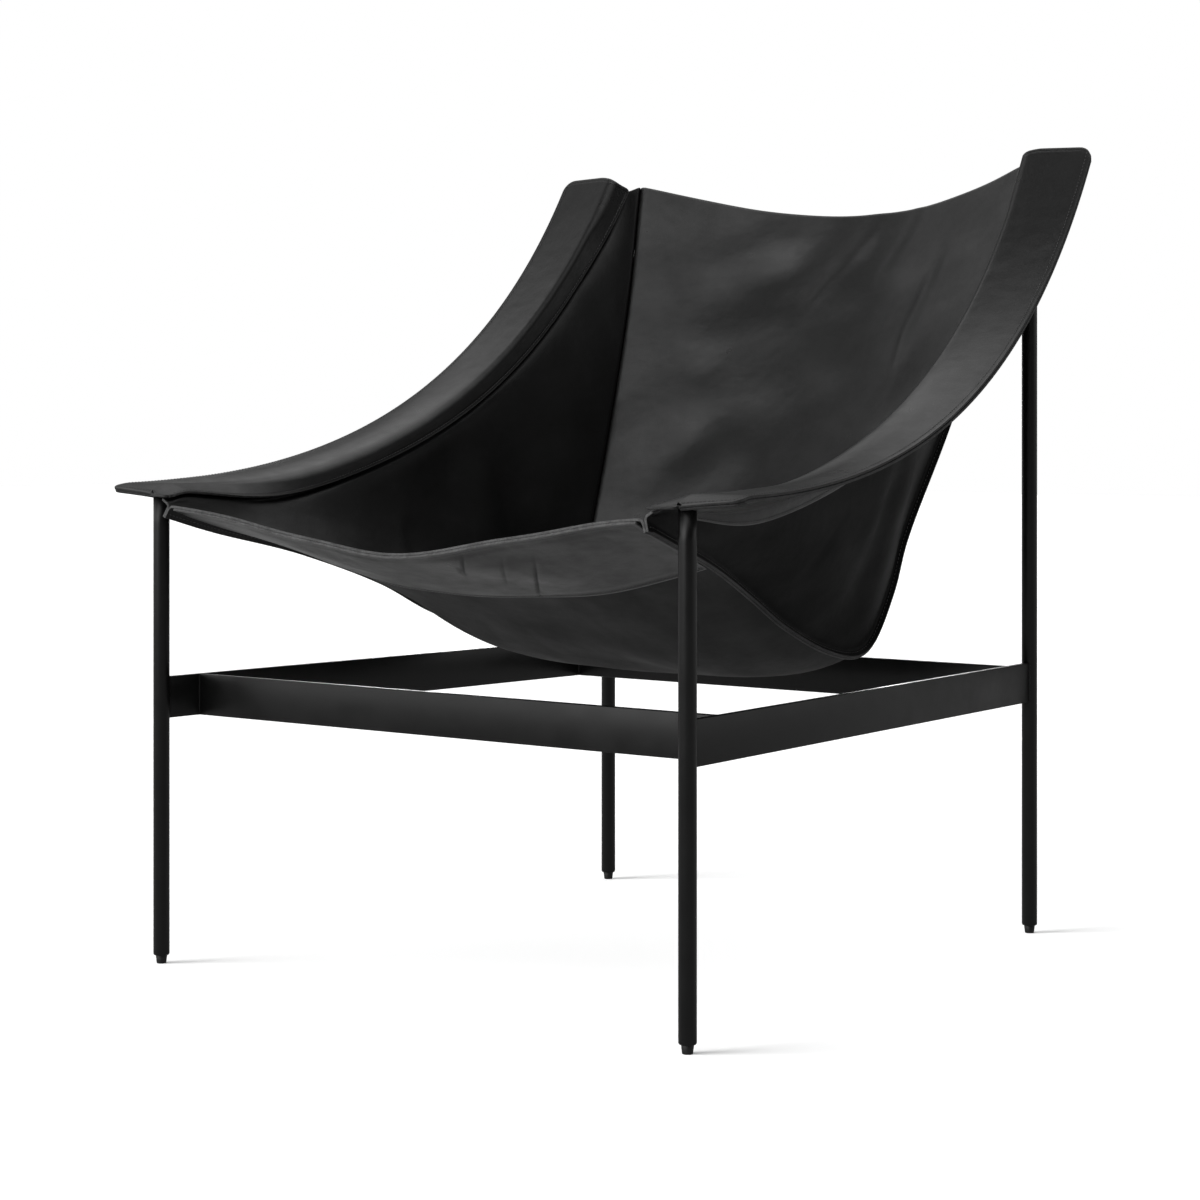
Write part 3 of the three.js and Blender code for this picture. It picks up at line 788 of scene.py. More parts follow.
def leather_face(name, dark, light, rough, gloss, stitch_line=0, painted_highlight=0):
    """Smooth saddle leather: pores, creases, uneven dye; a pale line along its edges, part wear and part
    painted highlight; where asked, a painted highlight as a pale band along the flap's crown.
    """
    material, tree, shader = new_material(name)
    places, to_edge = leather_places(tree), edge_distance(tree)
    cloud = noise(tree, places, scale=7.0, detail=4.0, roughness=0.55)
    fleck = noise(tree, places, scale=55.0, detail=3.0, roughness=0.6)
    uneven = mixed(tree, 0.35, cloud, fleck)
    # Edge line: wear and a painted highlight on the rounded edge.
    edge_wear_and_highlight = spread(tree, to_edge, EDGE_WEAR_AND_HIGHLIGHT, 0.0, *EDGE_WEAR_AND_HIGHLIGHT_FADES)
    shade = spread(tree, uneven, dark, light, *NOISE_RANGE)
    shade = maths(tree, "MULTIPLY_ADD", edge_wear_and_highlight, light, shade)
    # Painted highlight: a pale band of colour along the flap's crown, where the light would glint.
    if painted_highlight:
        across, along = add(tree, "SeparateXYZ", {0: places}).outputs[:2]
        highlight_band = spread(tree, uneven, 0.5, 1.2, *NOISE_RANGE)
        for place, limits in zip((across, across, along, along), HIGHLIGHT_BAND_LIMITS):
            highlight_band = maths(tree, "MULTIPLY", highlight_band, spread(tree, place, 0, 1, *limits))
        shade = maths(tree, "MULTIPLY_ADD", highlight_band, painted_highlight, shade)
    tree.links.new(shade, shader.inputs["Base Color"])
    tree.links.new(spread(tree, uneven, rough + 0.10, rough - 0.08, *NOISE_RANGE), shader.inputs["Roughness"])
    shader.inputs["Specular IOR Level"].default_value = gloss
    pore_inputs = {"Vector": places, "Scale": 780.0, "Randomness": 1.0}
    pores = add(tree, "TexVoronoi", pore_inputs, feature="DISTANCE_TO_EDGE").outputs["Distance"]
    pores = spread(tree, pores, 0.0, 1.0, 0.0, 0.25)
    creases = noise(tree, places, scale=120.0, detail=5.0, roughness=0.62)
    hollows = noise(tree, places, scale=16.0, detail=2.0, roughness=0.5)
    surface = bump(tree, hollows, depth=0.0018)
    surface = bump(tree, creases, depth=0.00022, below=surface)
    surface = bump(tree, pores, depth=0.00005, below=surface)
    if stitch_line:
        off = maths(tree, "ABSOLUTE", maths(tree, "SUBTRACT", to_edge, stitch_line))
        furrow = maths(tree, "SMOOTH_MIN", off, FURROW_HALF_WIDTH, FURROW_SOFTNESS)
        furrow = maths(tree, "MULTIPLY", furrow, FURROW_STEEPNESS)
        surface = bump(tree, furrow, depth=FURROW_DEPTH, below=surface)
    tree.links.new(surface, shader.inputs["Normal"])
    return material


def leather_edge(name, dark, light, rough):
    """A cut edge: fibres along it, paler in places from wear."""
    material, tree, shader = new_material(name)
    places = add(tree, "TexCoord", {}).outputs["Object"]
    fibre = noise(tree, places, scale=420.0, detail=4.0, roughness=0.65)
    patch = noise(tree, places, scale=60.0, detail=2.0)
    uneven = mixed(tree, 0.4, fibre, patch)
    tree.links.new(spread(tree, uneven, dark, light, 0.35, 0.65), shader.inputs["Base Color"])
    tree.links.new(spread(tree, uneven, rough + 0.1, rough - 0.1), shader.inputs["Roughness"])
    shader.inputs["Specular IOR Level"].default_value = 0.3
    tree.links.new(bump(tree, fibre, depth=0.00035), shader.inputs["Normal"])
    return material


def leather_reverse(name, dark, light):
    """The flesh side: matt, short fibres, cloudy."""
    material, tree, shader = new_material(name)
    places = leather_places(tree)
    fibre = noise(tree, places, scale=600.0, detail=4.0, roughness=0.7)
    cloud = noise(tree, places, scale=9.0, detail=4.0, roughness=0.6)
    streak = noise(tree, places, scale=26.0, detail=3.0, roughness=0.55, stretch=(1, 0.3, 1))
    uneven = mixed(tree, 0.4, cloud, streak)
    tree.links.new(spread(tree, uneven, dark, light, *NOISE_RANGE), shader.inputs["Base Color"])
    tree.links.new(spread(tree, uneven, 0.66, 0.52, *NOISE_RANGE), shader.inputs["Roughness"])
    shader.inputs["Specular IOR Level"].default_value = 0.13
    surface = bump(tree, cloud, depth=0.002)
    tree.links.new(bump(tree, fibre, depth=0.00012, below=surface), shader.inputs["Normal"])
    return material


def hard_coat(name, dark, light, rough, gloss, peel, depth):
    """Paint or plastic with a fine uneven skin, a little dusty."""
    material, tree, shader = new_material(name)
    places = add(tree, "TexCoord", {}).outputs["Object"]
    skin = noise(tree, places, scale=peel, detail=2.0)
    dust = noise(tree, places, scale=22.0, detail=4.0, roughness=0.6)
    tree.links.new(spread(tree, dust, dark, light, *NOISE_RANGE), shader.inputs["Base Color"])
    tree.links.new(spread(tree, dust, rough - 0.05, rough + 0.07, *NOISE_RANGE), shader.inputs["Roughness"])
    shader.inputs["Specular IOR Level"].default_value = gloss
    tree.links.new(bump(tree, skin, depth), shader.inputs["Normal"])
    return material


FLAP_STITCH = 0.0045
FACING_STITCH = 0.0045
GRAIN = leather_face("leather_grain", dark=0.002, light=0.020, rough=0.33, gloss=0.5)
# The side panels take darker copies of the grain and the reverse: painted shade, for sides that stand in
# shade inside the sling.
SHADED_SIDE_GRAIN = leather_face("leather_side", dark=0.001, light=0.008, rough=0.33, gloss=0.5)
FACING_GRAIN = leather_face("leather_facing", 0.002, 0.026, rough=0.33, gloss=0.5, stitch_line=FACING_STITCH)
# The flap leather has the painted highlight along its crown.
FLAP_GRAIN = leather_face("leather_flap", 0.003, 0.014, 0.31, gloss=0.5, stitch_line=FLAP_STITCH, painted_highlight=0.09)
RAW_EDGE = leather_edge("leather_raw_edge", dark=0.06, light=0.16, rough=0.7)
EDGE = leather_edge("leather_burnished_edge", dark=0.012, light=0.035, rough=0.45)
FLESH = leather_reverse("leather_reverse", dark=0.016, light=0.042)
# Darker copy of the reverse for the side panels: painted shade.
SHADED_SIDE_FLESH = leather_reverse("leather_reverse_dyed", dark=0.003, light=0.010)
THREAD = hard_coat("thread", dark=0.06, light=0.10, rough=0.4, gloss=0.4, peel=1500.0, depth=0.0002)
PAINT = hard_coat("powder_coat", dark=0.004, light=0.007, rough=0.35, gloss=0.3, peel=850.0, depth=0.00004)
PLASTIC = hard_coat("plastic", dark=0.009, light=0.014, rough=0.5, gloss=0.4, peel=500.0, depth=0.00004)


# Arm flaps

FLAP_ROWS = 260
END_CROWDING = 0.8
FLAP_FLAT = np.concatenate([[0, 0.006, 0.02, 0.04, 0.07, 0.11, 0.16], np.linspace(0.22, 1, 16)])
FLAP_TURN = np.linspace(1, 2, 11)[1:]
FLAP_SKIRT = np.concatenate([np.linspace(2, 2.9, 7)[1:], [2.95, 2.98, 3]])
FLAP_ACROSS = np.concatenate([FLAP_FLAT, FLAP_TURN, FLAP_SKIRT])


def corner_pull(place, width, outer, inner):
    """How far rounded corners draw an end back, at places across the leather."""
    from_outer = np.maximum(0, outer - place)
    from_inner = np.clip(place - (width - inner), 0, inner)
    pull = outer - np.sqrt(np.maximum(outer**2 - from_outer**2, 0))
    return pull + inner - np.sqrt(np.maximum(inner**2 - from_inner**2, 0))


def flap_places(share):
    """Distance over the leather from the outer edge, for each column, at one end."""
    grid = flap_point(np.full(len(FLAP_ACROSS), float(share)), FLAP_ACROSS)
    steps = np.linalg.norm(np.diff(grid, axis=0), axis=1)
    return np.concatenate([[0], np.cumsum(steps)])


def end_spaced(count):
    """Shares from 0 to 1, closer together at both ends."""
    even = np.linspace(0, 1, count)
    return even - END_CROWDING * np.sin(2 * math.pi * even) / (2 * math.pi)


flap_front_places, flap_top_places = flap_places(0), flap_places(1)


def flap_start(place):
    """The share at which the flap starts, by distance over the leather from its outer edge."""
    width = flap_front_places[-1]
    lead = np.interp(place, [0, FLAP_OVERHANG_FRONT, width], FLAP_LEAD)
    return (corner_pull(place, width, FLAP_CORNER_FRONT, SKIRT_CORNER_FRONT) - lead) / arm.length


def flap_stop(place):
    """The share at which the flap stops: slanted, and cut back in a curve beyond the rod."""
    width = flap_top_places[-1]
    trail = np.interp(place, [0, FLAP_OVERHANG_TOP], FLAP_TRAIL)
    curl_from = FLAP_CURL_FROM * FLAP_OVERHANG_TOP
    beyond = np.clip((place - curl_from) / (width - curl_from), 0, 1)
    pull = corner_pull(place, width, FLAP_CORNER_TOP, SKIRT_CORNER_TOP)
    pull = pull + FLAP_CURL * smooth(beyond, 0, FLAP_CURL_FULL)
    return 1 + (trail - pull) / arm.length


def make_flap_top(name, side):
    rows = end_spaced(FLAP_ROWS)[:, None]
    shares = between(flap_start(flap_front_places), flap_stop(flap_top_places), rows)
    grid = on_side(flap_point(shares, FLAP_ACROSS[None, :]), side)
    reverse = grid - normals_of(grid, side) * LEATHER
    mesh = leather_mesh(f"arm_flap_{name}", grid, reverse, side, last_edge=3)
    piece = new_piece(mesh, FLAP_GRAIN, EDGE, FLESH, RAW_EDGE)
    hand_over(piece, "leather", f"flap_top_{name}")


# Side panels

PANEL_ROWS = 220
PANEL_DOWN = np.linspace(0, 1, 48) ** 1.25
PANEL_TURN = 0.006
LAP_MIDDLE = 0.6
CORNER_CUTS = 2


def panel_grid(rows):
    """From under the skirt down to the seam, and out along its flange."""
    share = rows[:, None]
    lap, groove = (panel_hang(share, *place)[:, 0] for place in ((SKIRT_LAP, LAP_GAP), (0, GROOVE_GAP)))
    flange, apart = (direction[:, 0] for direction in seam_directions(share))
    fold = seam.at(rows) - apart * (LEATHER + TOUCH_GAP) / 2
    height = np.linalg.norm(fold - groove, axis=-1, keepdims=True)
    stop = 1 - np.minimum(FOLD_ROUND, height / 3) / height
    start = np.minimum(PANEL_TURN, height / 4) / height
    columns = []
    for down in PANEL_DOWN:
        part = between(start, stop, down)
        point = between(groove, fold, part)
        belly = 4 * part * (1 - part)
        ripple = PANEL_RIPPLE * waves(part * height, share * seam.length, **PANEL_WAVES)
        ripple = ripple + folds(down, share, PANEL_FOLDS)
        below = part * height / PANEL_PUFF_AT
        puff = PANEL_PUFF * below * np.exp(1 - below) * smooth(share, *PANEL_PUFF_RISES)
        puff = puff * fading(share, *PANEL_PUFF_FADES)
        bulge = between(SIDE_BULGE_RATE, SIDE_HOLLOW_RATE, smooth(share, *SIDE_HOLLOWS)) * height
        point[:, 0] += (belly * (bulge + ripple) - puff)[:, 0]
        columns.append(point)
    top = cut_corners([lap, between(lap, groove, LAP_MIDDLE), groove, columns[0]], CORNER_CUTS)
    turned = fold + flange * FOLD_ROUND
    tip = fold + flange * seam_flange(share)
    columns = top[:-1] + columns
    columns += rounded_corner(columns[-1], fold, turned, FOLD_STEPS)
    columns += [between(turned, tip, part) for part in FLANGE_OUTWARD]
    return np.stack(columns, axis=1)


def make_side_panel(name, side):
    grid = on_side(panel_grid(end_spaced(PANEL_ROWS)), side)
    shift = normals_of(grid, side) * LEATHER / 2
    mesh = leather_mesh(f"side_leather_{name}", grid + shift, grid - shift, side, last_edge=3)
    # Both faces of the side panel take the darker copies: painted shade.
    piece = new_piece(mesh, SHADED_SIDE_GRAIN, RAW_EDGE, SHADED_SIDE_FLESH, EDGE)
    cut_slots(piece, [leg_slot(rear_leg, side, open_behind=True)])
    hand_over(piece, "leather", f"side_panel_{name}")


# Flap's under layers

UNDER_INWARD = [0, 0.03, 0.07, 0.12, 0.2, 0.3, 0.45, 0.6, 0.8, 1]
UNDER_SHORT = 0.0006
UNDER_CLOSED_AT = -0.002
UNDER_OPEN_AT = 0.012
TAIL_FROM = 0.048
TAIL_FULL = 0.15
TAIL_TO = 0.014
TAIL_LEAST = 0.35
GROOVE_COLUMN = 8
LOW_COLUMN = 20


def under_shares(part, rows):
    """Shares along the arm for a column of the under layer: 0 at the outer edge, 1 beside the rod."""
    first = flap_start(part * FLAP_OVERHANG_FRONT) + UNDER_SHORT / arm.length
    last = flap_stop(part * FLAP_OVERHANG_TOP) - UNDER_SHORT / arm.length
    return between(first, last, rows)


def under_column(share, part, open_point):
    """A column under the flap, drawn up against it at the front end."""
    closed = flap_level(share, part, LEATHER + SEWN_GAP)
    opening = smooth(share * arm.length, UNDER_CLOSED_AT, UNDER_OPEN_AT)[:, None]
    return between(closed, open_point, opening)


def under_grid(rows):
    """From the flap's outer edge in under the rod, then down the outside of the side panel's top."""
    hug = SLEEVE_RADIUS / math.cos(UNDER_TURN / 2)
    columns = []
    for part in UNDER_INWARD:
        share = under_shares(part, rows)
        outer = flap_level(share, 0, LEATHER + SEWN_GAP)
        beside = round_rod(share, math.pi + UNDER_TURN, hug)
        columns.append(under_column(share, part, between(outer, beside, part)))
    share = np.minimum(share, 1 - TAIL_TO / arm.length)
    columns.append(under_column(share, 1, round_rod(share, math.pi, hug)))
    tail = between(TAIL_FROM / arm.length, 1 - TAIL_TO / arm.length, rows)
    panel = panel_grid(tail)
    outside = panel - normals_of(panel, 1) * (LEATHER / 2 + UNDER_GAP)
    lap, groove, low = outside[:, 0], outside[:, GROOVE_COLUMN], outside[:, LOW_COLUMN]
    drop = UNDER_LAP * between(TAIL_LEAST, 1, smooth(tail * arm.length, TAIL_FROM, TAIL_FULL))
    end = groove + unit(low - groove) * drop[:, None]
    columns += [lap, groove, end]
    return np.stack(cut_corners(columns, CORNER_CUTS), axis=1)


def make_flap_under(name, side):
    grid = on_side(under_grid(end_spaced(FLAP_ROWS)), side)
    reverse = grid - normals_of(grid, side) * LEATHER
    mesh = leather_mesh(f"arm_lining_{name}", grid, reverse, side)
    piece = new_piece(mesh, FLESH, EDGE, GRAIN)
    front, rear = leg_slot(front_leg, side, open_behind=False), leg_slot(rear_leg, side, open_behind=True)
    cut_slots(piece, [front, rear])
    hand_over(piece, "leather", f"flap_under_{name}")


# Seat and back

SEAT_ROWS = 250
SEAT_COLUMNS = 100
FACING_ROWS = 96
FACING_COLUMNS = 260
FACING_SEWN_GAP = 0.0001
FACING_OPENS = (0.008, 0.02)


def seat_surface(share, across):
    """The seat with its layer beside the seam drawn clear of the side panel's."""
    flange, apart = seam_directions(share)
    sign = np.sign(across)[..., None] * [1, 0, 0] + [0, 1, 1]
    beside = smooth(np.abs(across), SEAM_DRAWS_FROM, 1)[..., None]
    return seat_point(share, across) + apart * sign * beside * (LEATHER + TOUCH_GAP) / 2


def seat_grid(rows):
    share = rows[:, None]
    half = seam.at(rows)[:, 0]
    inner = (1 - FOLD_ROUND / half)[:, None]
    across = np.linspace(1, -1, SEAT_COLUMNS)[None, :] * inner
    middle = seat_surface(share, across)
    flange, apart = (direction[:, 0] for direction in seam_directions(share))
    fold = seam.at(rows) + apart * (LEATHER + TOUCH_GAP) / 2
    turned, tip = fold + flange * FOLD_ROUND, fold + flange * seam_flange(share)
    out = [between(tip, turned, part) for part in FLANGE_INWARD]
    out += rounded_corner(turned, fold, middle[:, 0], FOLD_STEPS)
    far = [column * [-1, 1, 1] for column in out[::-1]]
    return np.concatenate([np.stack(out, axis=1), middle, np.stack(far, axis=1)], axis=1)


def make_seat():
    grid = seat_grid(end_spaced(SEAT_ROWS))
    shift = normals_of(grid, 1) * LEATHER / 2
    mesh = leather_mesh("seat_leather", grid + shift, grid - shift, 1, first_edge=3, last_edge=3)
    piece = new_piece(mesh, GRAIN, RAW_EDGE, FLESH, EDGE)
    hand_over(piece, "leather", "seat_and_back")


def facing_depth(share):
    """How far below the seat's middle the facing starts: sewn close at its front and rear edges."""
    run = share * seam.length
    from_edge = np.minimum(run, FACING_DEPTH - run)
    return LEATHER / 2 + FACING_SEWN_GAP + LAP_GAP * smooth(from_edge, *FACING_OPENS)


def make_facing():
    rows = np.linspace(0, FACING_DEPTH / seam.length, FACING_ROWS)[:, None]
    across = np.linspace(FACING_SPREAD, -FACING_SPREAD, FACING_COLUMNS)[None, :]
    grid = seat_surface(rows, across)
    normal = normals_of(grid, 1)
    near = (facing_depth(rows) + 0 * across)[..., None]
    far = near + LEATHER + folds(across, rows, FACING_CREASES)[..., None]
    mesh = leather_mesh("front_lining", grid - normal * near, grid - normal * far, 1)
    piece = new_piece(mesh, FLESH, RAW_EDGE, FACING_GRAIN)
    hand_over(piece, "leather", "front_facing")


# Frame pieces


def turned_mesh(name, profile, top_slope=0, sides=ROUND_SIDES):
    """A round piece from radii and heights, its top cut on a slope towards the back."""
    angles = np.linspace(0, 2 * math.pi, sides, endpoint=False)
    rings = []
    for radius, height in profile:
        heights = np.full(sides, height)
        rings.append(np.stack([radius * np.cos(angles), radius * np.sin(angles), heights], axis=1))
    rings[-1][:, 2] += top_slope * rings[-1][:, 1]
    faces = []
    for low in range(0, (len(profile) - 1) * sides, sides):
        for i in range(sides):
            j = (i + 1) % sides
            faces.append([low + i, low + j, low + j + sides, low + i + sides])
    last = (len(profile) - 1) * sides
    faces.append(list(range(sides))[::-1])
    faces.append(list(range(last, last + sides)))
    return plain_mesh(name, np.concatenate(rings), faces)


def moved(mesh, place):
    mesh.transform(Matrix.Translation(Vector(place)))
    return mesh


LEG_CHAMFER = 0.0016
LEG_ROUND_IN = 0.35
LEG_ROUND_UP = 0.3
LEG_TOP_RING = 0.03
ROD_FROM = 0.015
ROD_STOPS = 0.99
ROD_ROWS = 160
ROD_SIDES = 24
ROD_LINE_STEPS = 2000
ROD_SLOPE_STEPS = 5
# Radii and heights of a glide, from its foot to the end of its stem
GLIDE_PROFILE = [
    (0.0040, 0.0),
    (0.0046, 0.0002),
    (0.0048, 0.0008),
    (0.0056, 0.0074),
    (0.0053, 0.0079),
    (0.0035, 0.0080),
    (0.0035, 0.012),
]
rod_line = round_rod(np.linspace(0, 1, ROD_LINE_STEPS + 1), 0, 0.0)


def make_leg(end, name, side, leg):
    low, high = node_box(f"{end}_leg_{name}")
    i = int(np.argmin(np.abs(rod_line[:, 1] - leg[1])))
    step = rod_line[min(i + ROD_SLOPE_STEPS, ROD_LINE_STEPS)] - rod_line[i - ROD_SLOPE_STEPS]
    profile = [
        (LEG_RADIUS - LEG_CHAMFER, low[2]),
        (LEG_RADIUS - LEG_CHAMFER * LEG_ROUND_IN, low[2] + LEG_CHAMFER * LEG_ROUND_UP),
        (LEG_RADIUS, low[2] + LEG_CHAMFER),
        (LEG_RADIUS, rod_line[i, 2] - LEG_TOP_RING),
        (LEG_RADIUS, rod_line[i, 2]),
    ]
    mesh = turned_mesh(f"{end}_leg_bar_{name}", profile, step[2] / step[1])
    piece = new_piece(moved(mesh, (side * leg[0], leg[1], 0)), PAINT)
    hand_over(piece, "frame", f"{end}_leg_{name}")


def make_rod(name, side):
    """The bent bar in the arm's sleeve."""
    rows = np.linspace(ROD_FROM / arm.length, ROD_STOPS, ROD_ROWS)[:, None]
    angles = np.linspace(0, 2 * math.pi, ROD_SIDES, endpoint=False)[None, :]
    grid = on_side(round_rod(rows, angles * side, ROD_RADIUS), side)
    index = np.arange(ROD_ROWS * ROD_SIDES).reshape(ROD_ROWS, ROD_SIDES)
    after = np.roll(index, -1, axis=1)
    quads = np.stack([index[:-1], after[:-1], after[1:], index[1:]], axis=-1).reshape(-1, 4)
    faces = quads.tolist() + [index[0, ::-1], index[-1]]
    piece = new_piece(plain_mesh(f"arm_bar_{name}", grid.reshape(-1, 3), faces), PAINT)
    hand_over(piece, "frame", f"arm_rod_{name}")


def make_glide(end, name, side, leg):
    mesh = turned_mesh(f"{end}_foot_{name}", GLIDE_PROFILE)
    piece = new_piece(moved(mesh, (side * leg[0], leg[1], 0)), PLASTIC)
    hand_over(piece, "glide", f"{end}_glide_{name}")


RAIL_REACH = 0.8
RAIL_LAP = 0.6
rail_way = unit(rear_leg[:2] - front_leg[:2])
rail_across = np.array([rail_way[1], -rail_way[0]])


def make_bar(name, node, outline):
    """A flat bar on edge with rounded edges, as high as its node."""
    low, high = node_box(node)
    piece = new_piece(prism_mesh(name, outline, low[2], high[2], rounding=RAIL_EDGE), PAINT)
    hand_over(piece, "frame", node)


def make_rails():
    half = RAIL_THICKNESS / 2
    start = front_leg[:2] + rail_way * LEG_RADIUS * RAIL_REACH
    stop = rear_leg[:2] - rail_way * LEG_RADIUS * RAIL_REACH
    inner, outer = -rail_across * half, rail_across * half
    for name, side in SIDES.items():
        outline = [(side * x, y) for x, y in (start + inner, start + outer, stop + outer, stop + inner)]
        make_bar(f"side_bar_{name}", f"side_rail_{name}", outline)
    for end in ("front", "rear"):
        low, high = node_box(f"{end}_rail")
        reach = high[0] + half * RAIL_LAP
        outline = [(-reach, low[1]), (reach, low[1]), (reach, high[1]), (-reach, high[1])]
        make_bar(f"{end}_bar", f"{end}_rail", outline)


# Stitches

STITCH_PITCH = 0.0042
STITCH_LENGTH = 0.0030
STITCH_WIDTH = 0.0008
STITCH_HEIGHT = 0.0008
STITCH_SUNK = 0.0001
SKIRT_STITCH = 0.003
END_STITCH = 0.004
SEAM_STITCH = 0.0045
TAIL_STITCH = 0.004
FACING_STITCHES = [0.003, 0.006]
UNDER_BITE = 0.0006
CORNER_CLEAR = 0.001
END_ROW = (0.95, 0.1)
END_POINTS = 24
FLAP_POINTS = 500
SKIRT_ROW = (0.002, 0.972)
TAIL_MEASURED_AT = 100
TAIL_CLEAR = 4
SEAM_ROW = (0.004, 0.997)
SEAM_POINTS = 600
FACING_CLEAR = 0.015
FACING_POINTS = 240
NORMAL_STEP = 1e-4


def grow(tree, kind, inputs, **settings):
    return add(tree, kind, inputs, "GeometryNode", **settings)


def stitch_tree():
    """Thread along the edges of a mesh: one small stitch at each pitch, lying along the edge."""
    tree = bpy.data.node_groups.new("stitches", "GeometryNodeTree")
    tree.interface.new_socket("Geometry", in_out="INPUT", socket_type="NodeSocketGeometry")
    for label in ("Pitch", "Length", "Width", "Height"):
        tree.interface.new_socket(label, in_out="INPUT", socket_type="NodeSocketFloat")
    tree.interface.new_socket("Geometry", in_out="OUTPUT", socket_type="NodeSocketGeometry")
    given = tree.nodes.new("NodeGroupInput").outputs
    out = tree.nodes.new("NodeGroupOutput")
    curve = grow(tree, "MeshToCurve", {"Mesh": given["Geometry"]}).outputs[0]
    spaced = {"Curve": curve, "Length": given["Pitch"]}
    row = grow(tree, "ResampleCurve", spaced, mode="LENGTH").outputs[0]
    along = grow(tree, "InputTangent", {}).outputs[0]
    up = grow(tree, "InputNamedAttribute", {"Name": "up"}, data_type="FLOAT_VECTOR").outputs[0]
    axes = {"Primary Axis": along, "Secondary Axis": up}
    settings = {"primary_axis": "X", "secondary_axis": "Z"}
    turn = add(tree, "AxesToRotation", axes, "FunctionNode", **settings).outputs[0]
    limits = {"Min": (-0.05, -0.05, -0.02), "Max": (0.05, 0.05, 0.16), "Seed": 4}
    chance = add(tree, "RandomValue", limits, "FunctionNode", data_type="FLOAT_VECTOR").outputs[0]
    lean = add(tree, "EulerToRotation", {0: chance}, "FunctionNode").outputs[0]
    leaning = {"Rotation": turn, "Rotate By": lean}
    turn = add(tree, "RotateRotation", leaning, "FunctionNode", rotation_space="LOCAL").outputs[0]
    ball = grow(tree, "MeshUVSphere", {"Segments": 7, "Rings": 4, "Radius": 0.5}).outputs[0]
    size = add(tree, "CombineXYZ", {k: given[s] for k, s in enumerate(("Length", "Width", "Height"))})
    stitch = grow(tree, "Transform", {"Geometry": ball, "Scale": size.outputs[0]}).outputs[0]
    placing = {"Points": row, "Instance": stitch, "Rotation": turn}
    placed = grow(tree, "InstanceOnPoints", placing).outputs[0]
    real = grow(tree, "RealizeInstances", {0: placed}).outputs[0]
    soft = grow(tree, "SetShadeSmooth", {0: real}).outputs[0]
    done = grow(tree, "SetMaterial", {0: soft, "Material": THREAD}).outputs[0]
    tree.links.new(done, out.inputs[0])
    return tree


STITCHES = stitch_tree()


def stitch_piece(name, rows):
    """Thread along rows, each its points and the ways up from the leather."""
    points = np.concatenate([place + up * STITCH_SUNK for place, up in rows])
    ups = np.concatenate([up for place, up in rows])
    ends = np.cumsum([len(place) for place, up in rows])
    edges = [(i, i + 1) for i in range(len(points) - 1) if i + 1 not in ends]
    mesh = bpy.data.meshes.new(name)
    mesh.from_pydata(points.tolist(), edges, [])
    mesh.attributes.new("up", "FLOAT_VECTOR", "POINT").data.foreach_set("vector", ups.ravel())
    piece = new_piece(mesh)
    sewing = piece.modifiers.new("stitches", "NODES")
    sewing.node_group = STITCHES
    sizes = {"Pitch": STITCH_PITCH, "Length": STITCH_LENGTH, "Width": STITCH_WIDTH, "Height": STITCH_HEIGHT}
    for socket in STITCHES.interface.items_tree:
        if socket.in_out == "INPUT" and socket.name in sizes:
            sewing[socket.identifier] = sizes[socket.name]
    settled(piece)
    hand_over(piece, "leather")


def with_normals(surface, u, v):
    """Points of a surface and its normals, from close neighbours."""
    along = surface(u + NORMAL_STEP, v) - surface(u - NORMAL_STEP, v)
    across = surface(u, v + NORMAL_STEP) - surface(u, v - NORMAL_STEP)
    return surface(u, v), unit(np.cross(along, across))


def flap_rows():
    """Along the flap's front end and outer edge, on its top and under it."""
    inward = np.linspace(*END_ROW, END_POINTS)
    front = flap_start(inward * FLAP_OVERHANG_FRONT) + END_STITCH / arm.length
    first = flap_start(0) + (FLAP_CORNER_FRONT + CORNER_CLEAR) / arm.length
    last = flap_stop(FLAP_STITCH) - END_STITCH / arm.length
    edge = np.linspace(first, last, FLAP_POINTS)
    shares = np.concatenate([front, edge])
    places = np.concatenate([inward, FLAP_STITCH / flap_overhang(edge)])
    points, up = with_normals(flap_point, shares, places)
    below = points - up * (2 * LEATHER + SEWN_GAP + UNDER_BITE)
    return [(points, up), (below, -up)]


def skirt_row():
    shares = np.linspace(*SKIRT_ROW, FLAP_POINTS)

    def skirt(share, up):
        return skirt_point(share, skirt_width(share) - up, 0)

    points, up = with_normals(skirt, shares, np.full(FLAP_POINTS, SKIRT_STITCH))
    return points, -up


def tail_row():
    """Along the under layer's lower edge, outside the side panel."""
    grid = under_grid(end_spaced(FLAP_ROWS))
    up = -normals_of(grid, 1)
    measured = grid[TAIL_MEASURED_AT]
    from_edge = np.linalg.norm(measured - measured[-1], axis=-1)
    column = int(np.argmin(np.abs(from_edge - TAIL_STITCH)))
    points, up = (values[TAIL_CLEAR:-TAIL_CLEAR, column] for values in (grid, up))
    return points + up * LEATHER, up


def seam_rows():
    shares = np.linspace(*SEAM_ROW, SEAM_POINTS)
    flange, apart = seam_directions(shares)
    line = seam.at(shares) + flange * (seam_flange(shares)[:, None] - SEAM_STITCH)
    depth = LEATHER + TOUCH_GAP / 2
    return [(line + apart * depth, apart), (line - apart * depth, -apart)]


